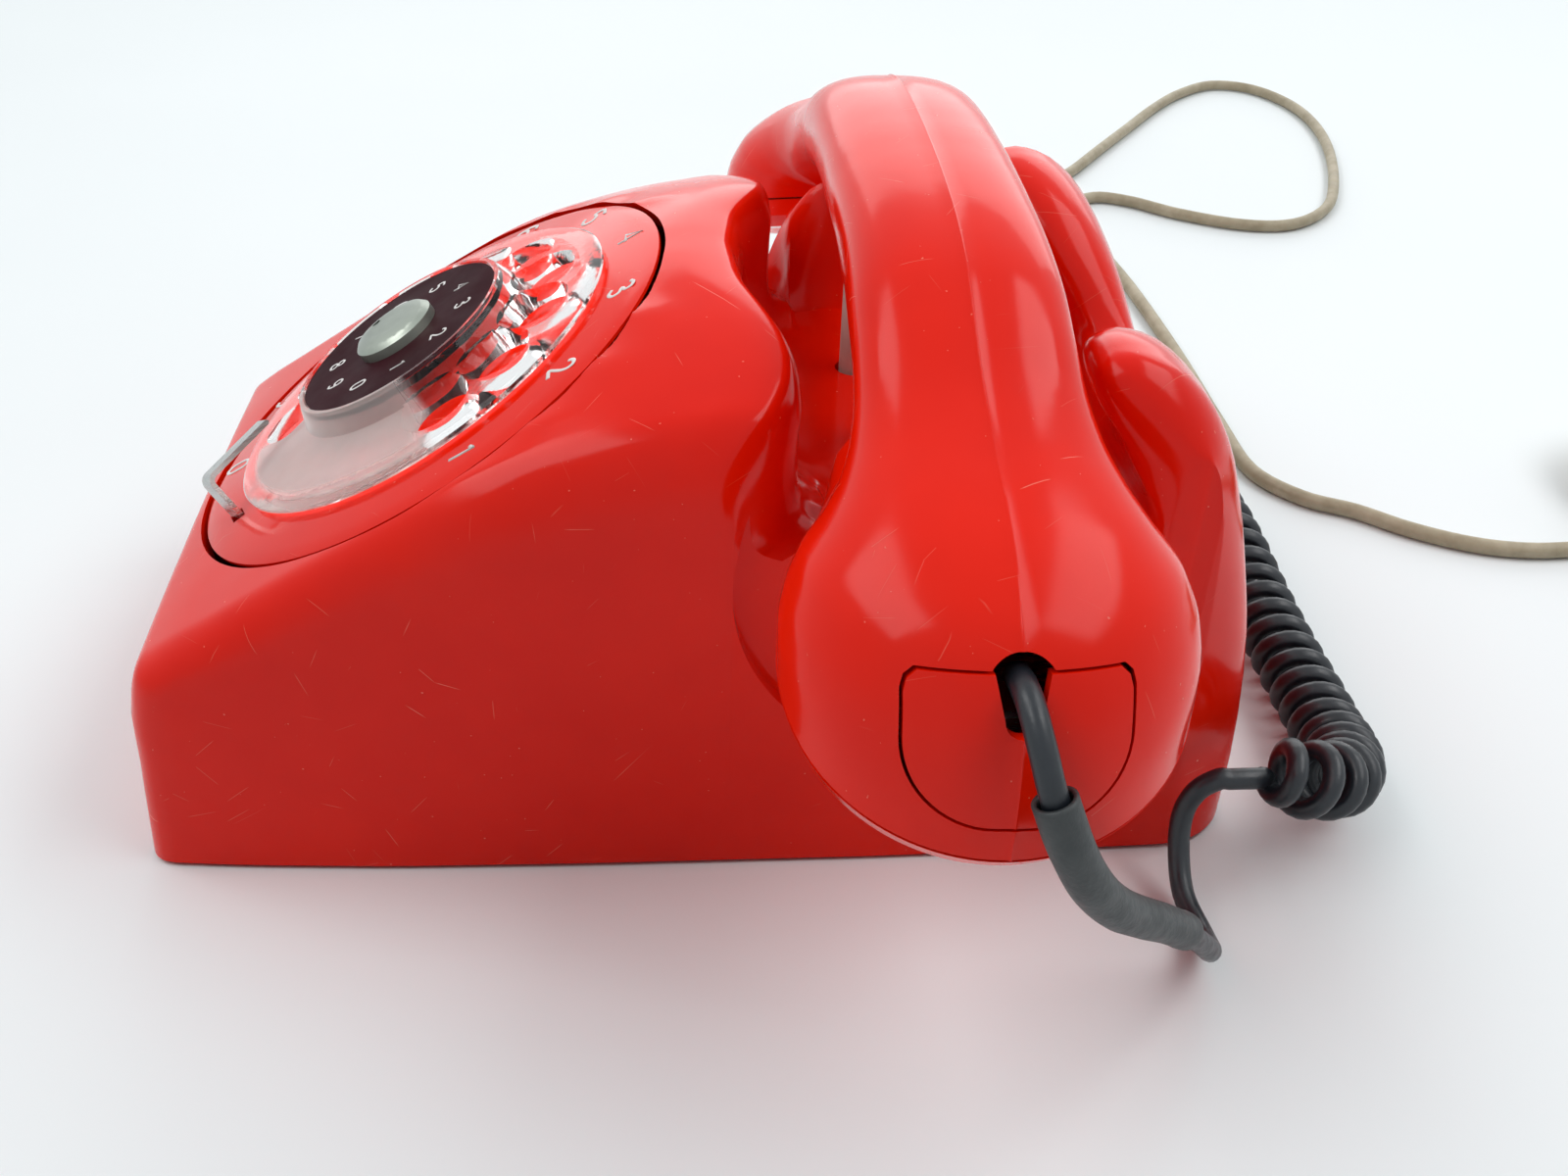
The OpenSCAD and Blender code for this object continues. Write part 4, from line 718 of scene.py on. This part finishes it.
# ---- numbers ----
# Each numeral's one stroke on a field 0.6 wide and 1 high, and whether it is drawn as a curve.
# The nine is the six, turned round.
SIX = [(0.5, 0.94), (0.3, 1), (0.12, 0.8), (0.05, 0.4), (0.1, 0.1), (0.3, 0), (0.5, 0.1),
       (0.56, 0.3), (0.46, 0.52), (0.26, 0.56), (0.08, 0.42)]
NUMERALS = {
    "1": (False, [(0.12, 0.78), (0.34, 1), (0.34, 0)]),
    "2": (True, [(0.04, 0.78), (0.12, 0.94), (0.3, 1), (0.48, 0.94), (0.56, 0.76), (0.5, 0.56),
                 (0.27, 0.28), (0.05, 0.01), (0.3, 0), (0.58, 0)]),
    "3": (True, [(0.06, 0.9), (0.28, 1), (0.5, 0.9), (0.52, 0.68), (0.26, 0.54), (0.54, 0.4),
                 (0.56, 0.16), (0.3, 0), (0.04, 0.12)]),
    "4": (False, [(0.46, 0), (0.46, 1), (0.02, 0.32), (0.6, 0.32)]),
    "5": (True, [(0.54, 1), (0.3, 1), (0.12, 0.99), (0.08, 0.56), (0.3, 0.62), (0.52, 0.5),
                 (0.56, 0.24), (0.4, 0.02), (0.2, 0), (0.03, 0.12)]),
    "6": (True, SIX),
    "7": (False, [(0.04, 1), (0.58, 1), (0.24, 0)]),
    "8": (True, [(0.3, 0.54), (0.1, 0.66), (0.08, 0.86), (0.3, 1), (0.52, 0.86), (0.5, 0.66),
                 (0.3, 0.54), (0.06, 0.38), (0.05, 0.12), (0.3, 0), (0.55, 0.12), (0.54, 0.38),
                 (0.3, 0.54)]),
    "9": (True, [(0.6 - x, 1 - y) for x, y in SIX]),
    "0": (True, [(0.3, 1), (0.1, 0.88), (0.03, 0.5), (0.1, 0.12), (0.3, 0), (0.5, 0.12),
                 (0.57, 0.5), (0.5, 0.88), (0.3, 1)])}
NUMERAL_FLAT = 0.3
NUMERAL_SIDES = 8


def add_numbers(name, ring_r, first, step, size, pen, height, body):
    """Ten printed numerals round the dial, upright for the person who faces it."""
    points, faces = [], []
    for k, numeral in enumerate("1234567890"):
        a = math.radians(first + step * k)
        curved, stroke = NUMERALS[numeral]
        flat = [(size * (x - 0.3) + ring_r * math.cos(a), size * (y - 0.5) + ring_r * math.sin(a),
                 0) for x, y in stroke]
        line = eased(flat, 4) if curved else [Vector(q) for q in flat]
        rings = tube_rings(line, [pen] * len(line), NUMERAL_SIDES)
        faces += tube_faces(len(points), len(line), NUMERAL_SIDES)
        points += [on_dial(q.x, q.y, height + NUMERAL_FLAT * q.z) for ring in rings for q in ring]
    piece = add_mesh(name, points, faces)
    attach(piece, body)
    return piece


housing = add_housing()
handset_body, end_plug = add_handset()
plate_numbers = add_numbers("plate_numbers", ring_r=46.5, first=17, step=27.5, size=5.2,
                            pen=0.42, height=0.6, body="base")
label_numbers = add_numbers("label_numbers", ring_r=15, first=8, step=36, size=3.3,
                            pen=0.26, height=8.9, body="dial")


# ---- shading of the CAD nodes ----
CAD_SHARP_EDGE = math.radians(32)
MERGE_AT = 2e-6


def soft_shading():
    """A node tree that joins split corners and shades across the flatter edges."""
    tree = bpy.data.node_groups.new("soft_shading", "GeometryNodeTree")
    tree.interface.new_socket("Geometry", in_out="INPUT", socket_type="NodeSocketGeometry")
    tree.interface.new_socket("Geometry", in_out="OUTPUT", socket_type="NodeSocketGeometry")
    nodes, links = tree.nodes, tree.links
    start, end = nodes.new("NodeGroupInput"), nodes.new("NodeGroupOutput")
    bare = nodes.new("GeometryNodeRemoveAttribute")
    bare.inputs["Name"].default_value = "custom_normal"
    merge = nodes.new("GeometryNodeMergeByDistance")
    merge.inputs["Distance"].default_value = MERGE_AT
    smooth = nodes.new("GeometryNodeSetShadeSmooth")
    smooth.domain = "FACE"
    bend = nodes.new("GeometryNodeInputMeshEdgeAngle")
    steep = nodes.new("FunctionNodeCompare")
    steep.data_type = "FLOAT"
    steep.operation = "GREATER_THAN"
    steep.inputs[1].default_value = CAD_SHARP_EDGE
    sharp = nodes.new("GeometryNodeSetShadeSmooth")
    sharp.domain = "EDGE"
    sharp.inputs["Shade Smooth"].default_value = False
    links.new(start.outputs[0], bare.inputs["Geometry"])
    links.new(bare.outputs[0], merge.inputs["Geometry"])
    links.new(merge.outputs[0], smooth.inputs["Geometry"])
    links.new(smooth.outputs[0], sharp.inputs["Geometry"])
    links.new(bend.outputs["Unsigned Angle"], steep.inputs[0])
    links.new(steep.outputs[0], sharp.inputs["Selection"])
    links.new(sharp.outputs[0], end.inputs[0])
    return tree


shade = soft_shading()
for node in NODES.values():
    node.modifiers.new("soft_shading", "NODES").node_group = shade


# ---- materials ----
class Paint:
    """A material with one Principled shader and short ways to add nodes to it."""

    def __init__(self, name, color, roughness, **sockets):
        """Sockets are uniform values, named with _ for each space."""
        self.material = bpy.data.materials.new(name)
        self.material.use_nodes = True
        self.tree = self.material.node_tree
        self.shader = next(n for n in self.tree.nodes if n.type == "BSDF_PRINCIPLED")
        self.shader.inputs["Base Color"].default_value = (*color, 1)
        self.shader.inputs["Roughness"].default_value = roughness
        for key, value in sockets.items():
            self.shader.inputs[key.replace("_", " ")].default_value = value
        self.coords = self.tree.nodes.new("ShaderNodeTexCoord").outputs["Object"]

    def put(self, socket, value):
        """Gives a socket another node's output or a plain value."""
        if hasattr(value, "is_output"):
            self.tree.links.new(value, socket)
        else:
            socket.default_value = value

    def feed(self, name, value):
        """Links an output to a socket of the main shader."""
        self.tree.links.new(value, self.shader.inputs[name])

    def stretched(self, scale):
        """The coordinates, scaled along each axis."""
        node = self.tree.nodes.new("ShaderNodeMapping")
        node.inputs["Scale"].default_value = scale
        self.tree.links.new(self.coords, node.inputs["Vector"])
        return node.outputs[0]

    def noise(self, scale, detail, rough, at=None):
        """Noise from 0 to 1."""
        node = self.tree.nodes.new("ShaderNodeTexNoise")
        self.tree.links.new(at or self.coords, node.inputs["Vector"])
        for key, value in (("Scale", scale), ("Detail", detail), ("Roughness", rough)):
            node.inputs[key].default_value = value
        return node.outputs["Fac"]

    def vector(self, operation, a, b=None):
        """A vector operation on outputs or plain vectors."""
        node = self.tree.nodes.new("ShaderNodeVectorMath")
        node.operation = operation
        self.put(node.inputs[0], a)
        if b is not None:
            self.put(node.inputs[1], b)
        return node.outputs["Value" if operation == "DOT_PRODUCT" else "Vector"]

    def math(self, operation, a, b=0.0):
        """A number operation on outputs or plain numbers."""
        node = self.tree.nodes.new("ShaderNodeMath")
        node.operation = operation
        self.put(node.inputs[0], a)
        self.put(node.inputs[1], b)
        return node.outputs[0]

    def ramp(self, value, low, high, start=0.0, end=1.0):
        """A number that goes from start to end while value goes from low to high."""
        node = self.tree.nodes.new("ShaderNodeMapRange")
        self.tree.links.new(value, node.inputs["Value"])
        for key, number in (("From Min", low), ("From Max", high), ("To Min", start),
                            ("To Max", end)):
            node.inputs[key].default_value = number
        return node.outputs[0]

    def mix(self, share, a, b):
        """A color between a and b."""
        node = self.tree.nodes.new("ShaderNodeMix")
        node.data_type = "RGBA"
        self.put(node.inputs["Factor"], share)
        for socket, color in ((node.inputs[6], a), (node.inputs[7], b)):
            self.put(socket, color if hasattr(color, "is_output") else (*color, 1))
        return node.outputs[2]

    def hairlines(self, scale, width, share):
        """Short straight scratches, one to a cell at most, each in its own direction."""
        node = self.tree.nodes.new("ShaderNodeTexVoronoi")
        self.tree.links.new(self.coords, node.inputs["Vector"])
        node.inputs["Scale"].default_value = scale
        way = self.vector("SUBTRACT", node.outputs["Color"], (0.5, 0.5, 0.5))
        across = self.vector("NORMALIZE", way)
        away = self.vector("SUBTRACT", self.coords, node.outputs["Position"])
        off = self.math("ABSOLUTE", self.vector("DOT_PRODUCT", away, across))
        line = self.ramp(off, 0.3 * width, width, 1, 0)
        short = self.ramp(node.outputs["Distance"], 0.35, 0.5, 1, 0)
        split = self.tree.nodes.new("ShaderNodeSeparateColor")
        self.tree.links.new(node.outputs["Color"], split.inputs[0])
        some = self.ramp(split.outputs[0], 1 - share, 1.02 - share)
        return self.math("MULTIPLY", self.math("MULTIPLY", line, short), some)

    def bump(self, height, strength, depth, under=None):
        """A bump on the main shader, over another bump if one is given."""
        node = self.tree.nodes.new("ShaderNodeBump")
        node.inputs["Strength"].default_value = strength
        node.inputs["Distance"].default_value = depth
        self.tree.links.new(height, node.inputs["Height"])
        if under is not None:
            self.tree.links.new(under, node.inputs["Normal"])
        self.tree.links.new(node.outputs[0], self.shader.inputs["Normal"])
        return node.outputs[0]

    def cover(self, share, other):
        """Lays another shader over the main one."""
        mix = self.tree.nodes.new("ShaderNodeMixShader")
        output = next(n for n in self.tree.nodes if n.type == "OUTPUT_MATERIAL")
        for value, socket in ((share, mix.inputs[0]), (self.shader.outputs[0], mix.inputs[1]),
                              (other, mix.inputs[2]), (mix.outputs[0], output.inputs["Surface"])):
            self.tree.links.new(value, socket)


RED, RED_DULL, RED_WORN = (0.86, 0.012, 0.0006), (0.74, 0.007, 0.0004), (0.9, 0.26, 0.17)
CLEAR, MILKY = (0.97, 0.96, 0.95), (0.6, 0.5, 0.47)
# Where the wheel has no holes: the middle of that part, and where it fades towards the rim.
BLANK_AT = math.radians(-40)
BLANK_ENDS = 0.0365, 0.038


def red_plastic(name, bright, dull, marks):
    """Glossy moulded plastic: uneven tone, rubbed patches, fine scratches, soft orange peel."""
    p = Paint(name, bright, 0.24, Specular_IOR_Level=0.2)
    tone = p.ramp(p.noise(14, 4, 0.6), 0.35, 0.7)
    body = p.mix(tone, bright, dull)
    worn_area = p.ramp(p.noise(26, 3, 0.6), 0.42, 0.62)
    hair = p.math("MAXIMUM", p.hairlines(75, 0.00009, 0.3), p.hairlines(170, 0.00006, 0.35))
    specks = p.ramp(p.noise(1100, 1, 0.5), 0.79, 0.81)
    worn = p.math("MAXIMUM", p.math("MULTIPLY", hair, worn_area), specks)
    worn = p.math("MULTIPLY", worn, marks)
    p.feed("Base Color", p.mix(worn, body, RED_WORN))
    rubbed = p.ramp(p.noise(48, 5, 0.65), 0.4, 0.72, 0.12, 0.22)
    p.feed("Roughness", p.math("ADD", rubbed, p.math("MULTIPLY", worn, 0.25)))
    peel = p.bump(p.noise(240, 2, 0.5), 0.05, 0.0004)
    p.bump(p.math("SUBTRACT", 1.0, worn), 0.2, 0.0002, peel)
    return p.material


def clear_plastic():
    """Clear acrylic, milky in the blank part of the wheel and where fingers rub it."""
    p = Paint("clear_acrylic", CLEAR, 0.06, IOR=1.28, Transmission_Weight=1.0)
    away = p.vector("SUBTRACT", p.coords, tuple(on_dial(0, 0, 0) * MM))
    u = p.vector("DOT_PRODUCT", away, (1, 0, 0))
    v = p.vector("DOT_PRODUCT", away, (0, math.cos(TILT), math.sin(TILT)))
    along = p.math("ADD", p.math("MULTIPLY", u, math.cos(BLANK_AT)),
                   p.math("MULTIPLY", v, math.sin(BLANK_AT)))
    far = p.math("SQRT", p.math("ADD", p.math("MULTIPLY", u, u), p.math("MULTIPLY", v, v)))
    blank = p.ramp(p.math("DIVIDE", along, far), 0.62, 0.7)
    blank = p.math("MULTIPLY", blank, p.ramp(far, *BLANK_ENDS, 1, 0))
    milky = p.math("MULTIPLY", blank, p.ramp(p.noise(60, 3, 0.6), 0.2, 0.8, 0.5, 0.85))
    haze = p.ramp(p.noise(70, 5, 0.7), 0.45, 0.8, 0.03, 0.22)
    p.feed("Roughness", p.math("MAXIMUM", haze, p.math("MULTIPLY", milky, 0.5)))
    p.feed("Transmission Weight", p.math("SUBTRACT", 1.0, p.math("MULTIPLY", milky, 0.55)))
    p.feed("Base Color", p.mix(milky, CLEAR, MILKY))
    p.bump(p.noise(160, 3, 0.6), 0.12, 0.0006)
    # Lamps shine through it, as they do through a clear sheet.
    rays = p.tree.nodes.new("ShaderNodeLightPath")
    p.cover(rays.outputs["Is Shadow Ray"],
            p.tree.nodes.new("ShaderNodeBsdfTransparent").outputs[0])
    return p.material


def satin(name, color, other, roughness, scale=120, bump=0.1, **sockets):
    """A plain surface with uneven tone, uneven gloss and a fine bump."""
    p = Paint(name, color, roughness, **sockets)
    p.feed("Base Color", p.mix(p.ramp(p.noise(scale, 4, 0.6), 0.35, 0.7), color, other))
    p.feed("Roughness", p.ramp(p.noise(scale * 2.3, 3, 0.6), 0.3, 0.7, roughness - 0.08,
                               roughness + 0.1))
    p.bump(p.noise(scale * 9, 2, 0.5), bump, 0.0003)
    return p.material


def metal(name, color, roughness, stretch=(1, 1, 30)):
    """Metal with fine drawn lines."""
    p = Paint(name, color, roughness, Metallic=1.0)
    lines = p.noise(60, 3, 0.6, p.stretched(stretch))
    p.feed("Roughness", p.ramp(lines, 0.3, 0.7, roughness - 0.08, roughness + 0.12))
    p.feed("Base Color", p.mix(p.ramp(p.noise(90, 4, 0.6), 0.4, 0.75),
                               color, tuple(0.72 * c for c in color)))
    p.bump(lines, 0.08, 0.0002)
    return p.material


PAINTS = {
    "red_plastic": red_plastic("red_housing", RED, RED_DULL, 0.6),
    "clear_plastic": clear_plastic(),
    "label": satin("label_print", (0.026, 0.003, 0.006), (0.04, 0.006, 0.011), 0.42, 40, 0.02,
                   Specular_IOR_Level=0.02),
    "hub_metal": metal("hub_metal", (0.36, 0.39, 0.34), 0.38, (1, 1, 1)),
    "steel": metal("bright_steel", (0.56, 0.56, 0.55), 0.24),
    "brass": metal("plain_brass", (0.66, 0.47, 0.2), 0.3),
    "black_cord": satin("cord_black", (0.008, 0.011, 0.016), (0.014, 0.018, 0.024), 0.36, 200, 0.1),
    "cream_cord": satin("cord_cream", (0.42, 0.36, 0.25), (0.3, 0.25, 0.16), 0.5, 150, 0.12),
    "dark_plastic": satin("dark_plastic", (0.02, 0.02, 0.022), (0.035, 0.035, 0.037), 0.45),
    "base_metal": satin("base_paint", (0.045, 0.045, 0.05), (0.06, 0.06, 0.062), 0.5),
    "board": satin("board_green", (0.05, 0.11, 0.03), (0.035, 0.08, 0.025), 0.4),
    "winding": satin("varnished_wire", (0.13, 0.03, 0.014), (0.2, 0.06, 0.02), 0.35, 400, 0.4),
    "natural_plastic": satin("white_plastic", (0.6, 0.6, 0.55), (0.5, 0.5, 0.44), 0.4),
    "rubber": satin("soft_rubber", (0.012, 0.012, 0.013), (0.02, 0.02, 0.021), 0.65),
}
INK = satin("number_ink", (0.8, 0.78, 0.76), (0.66, 0.62, 0.6), 0.45, 200, 0.05)
SLEEVE_PAINT = satin("sleeve_grey", (0.022, 0.026, 0.028), (0.04, 0.045, 0.046), 0.5, 160, 0.25)


def paint(piece, material):
    """Gives a piece its one material."""
    piece.data.materials.clear()
    piece.data.materials.append(material)


for entry in frame["record"]["subparts"]:
    paint(NODES[entry["node"]], PAINTS[entry["material_slot"]])
for piece in (housing, handset_body, end_plug):
    paint(piece, PAINTS["red_plastic"])
paint(handset_cord, PAINTS["black_cord"])
paint(shrink_sleeve, SLEEVE_PAINT)
paint(line_cord, PAINTS["cream_cord"])
for piece in (plate_numbers, label_numbers):
    paint(piece, INK)


# ---- stage and light ----
# The floor keeps the shadow near the telephone, and turns plain from FAR_FROM to FAR_TO, in
# metres from the middle.
FLOOR_HALF = 30.0
FLOOR_PALE, FLOOR_DIM = (0.83, 0.87, 0.88), (0.8, 0.84, 0.85)
FAR_FLOOR = (0.86, 0.93, 0.94, 1)
FAR_FROM, FAR_TO = 0.45, 1.2
# The room's colour, its bright side, and its strength on the dim side, on the bright side and
# where it is seen.
ROOM = (0.94, 0.98, 1.0, 1)
ROOM_BRIGHT_SIDE = (-1, 0.1, 0.3)
ROOM_DIM, ROOM_BRIGHT, ROOM_SEEN = 0.07, 0.8, 0.94
# Each lamp's name, place, aim, width and height, and watts.
LAMPS = [("left_box", (0.1, -0.8, 1.15), (0, 0, 0.05), (1.3, 0.6), 8),
         ("right_box", (0.1, 0.85, 1.15), (0, 0, 0.05), (1.3, 0.6), 8),
         ("far_box", (-1.5, 0.35, 0.6), (0, 0.02, 0.1), (2.0, 0.9), 7)]


def seen_rays(nodes, links):
    """One for rays that show the background: to the camera, by gloss or through glass."""
    rays = nodes.new("ShaderNodeLightPath")
    share = rays.outputs["Is Camera Ray"]
    for name in ("Is Glossy Ray", "Is Transmission Ray"):
        more = nodes.new("ShaderNodeMath")
        more.operation = "MAXIMUM"
        links.new(share, more.inputs[0])
        links.new(rays.outputs[name], more.inputs[1])
        share = more.outputs[0]
    return share


def add_stage():
    """A pale paper floor that keeps the shadow nearby and is plain further away."""
    mesh = bpy.data.meshes.new("floor")
    h = FLOOR_HALF
    mesh.from_pydata([(-h, -h, 0), (h, -h, 0), (h, h, 0), (-h, h, 0)], [], [(0, 1, 2, 3)])
    floor = bpy.data.objects.new("floor", mesh)
    bpy.context.scene.collection.objects.link(floor)
    p = Paint("floor_paper", FLOOR_PALE, 0.6)
    p.feed("Base Color", p.mix(p.ramp(p.noise(3, 3, 0.5), 0.3, 0.7), FLOOR_PALE, FLOOR_DIM))
    plain = p.tree.nodes.new("ShaderNodeEmission")
    plain.inputs["Color"].default_value = FAR_FLOOR
    far = p.ramp(p.math("SQRT", p.vector("DOT_PRODUCT", p.coords, p.coords)), FAR_FROM, FAR_TO)
    seen = seen_rays(p.tree.nodes, p.tree.links)
    p.cover(p.math("MULTIPLY", far, seen), plain.outputs[0])
    paint(floor, p.material)


def add_lamp(name, at, aim, size, watts):
    """A soft rectangular lamp."""
    data = bpy.data.lights.new(name, "AREA")
    data.shape = "RECTANGLE"
    data.size, data.size_y = size
    data.energy = watts
    lamp = bpy.data.objects.new(name, data)
    turn = (Vector(aim) - Vector(at)).to_track_quat("-Z", "Y").to_matrix().to_4x4()
    lamp.matrix_world = Matrix.Translation(at) @ turn
    bpy.context.scene.collection.objects.link(lamp)


def add_world():
    """A room that lights the telephone from its left and above, and is white where it is seen."""
    world = bpy.data.worlds.new("studio")
    bpy.context.scene.world = world
    world.use_nodes = True
    nodes, links = world.node_tree.nodes, world.node_tree.links
    back = next(n for n in nodes if n.type == "BACKGROUND")
    way = nodes.new("ShaderNodeVectorMath")
    way.operation = "DOT_PRODUCT"
    way.inputs[1].default_value = Vector(ROOM_BRIGHT_SIDE).normalized()
    links.new(nodes.new("ShaderNodeTexCoord").outputs["Generated"], way.inputs[0])
    share = nodes.new("ShaderNodeMapRange")
    share.interpolation_type = "SMOOTHSTEP"
    for key, number in (("From Min", -0.7), ("From Max", 0.9), ("To Min", ROOM_DIM),
                        ("To Max", ROOM_BRIGHT)):
        share.inputs[key].default_value = number
    links.new(way.outputs["Value"], share.inputs["Value"])
    strength = nodes.new("ShaderNodeMix")
    links.new(seen_rays(nodes, links), strength.inputs[0])
    links.new(share.outputs[0], strength.inputs[2])
    strength.inputs[3].default_value = ROOM_SEEN
    links.new(strength.outputs[0], back.inputs["Strength"])
    back.inputs["Color"].default_value = ROOM


add_stage()
add_world()
for lamp in LAMPS:
    add_lamp(*lamp)
bpy.context.scene.view_settings.view_transform = "Standard"
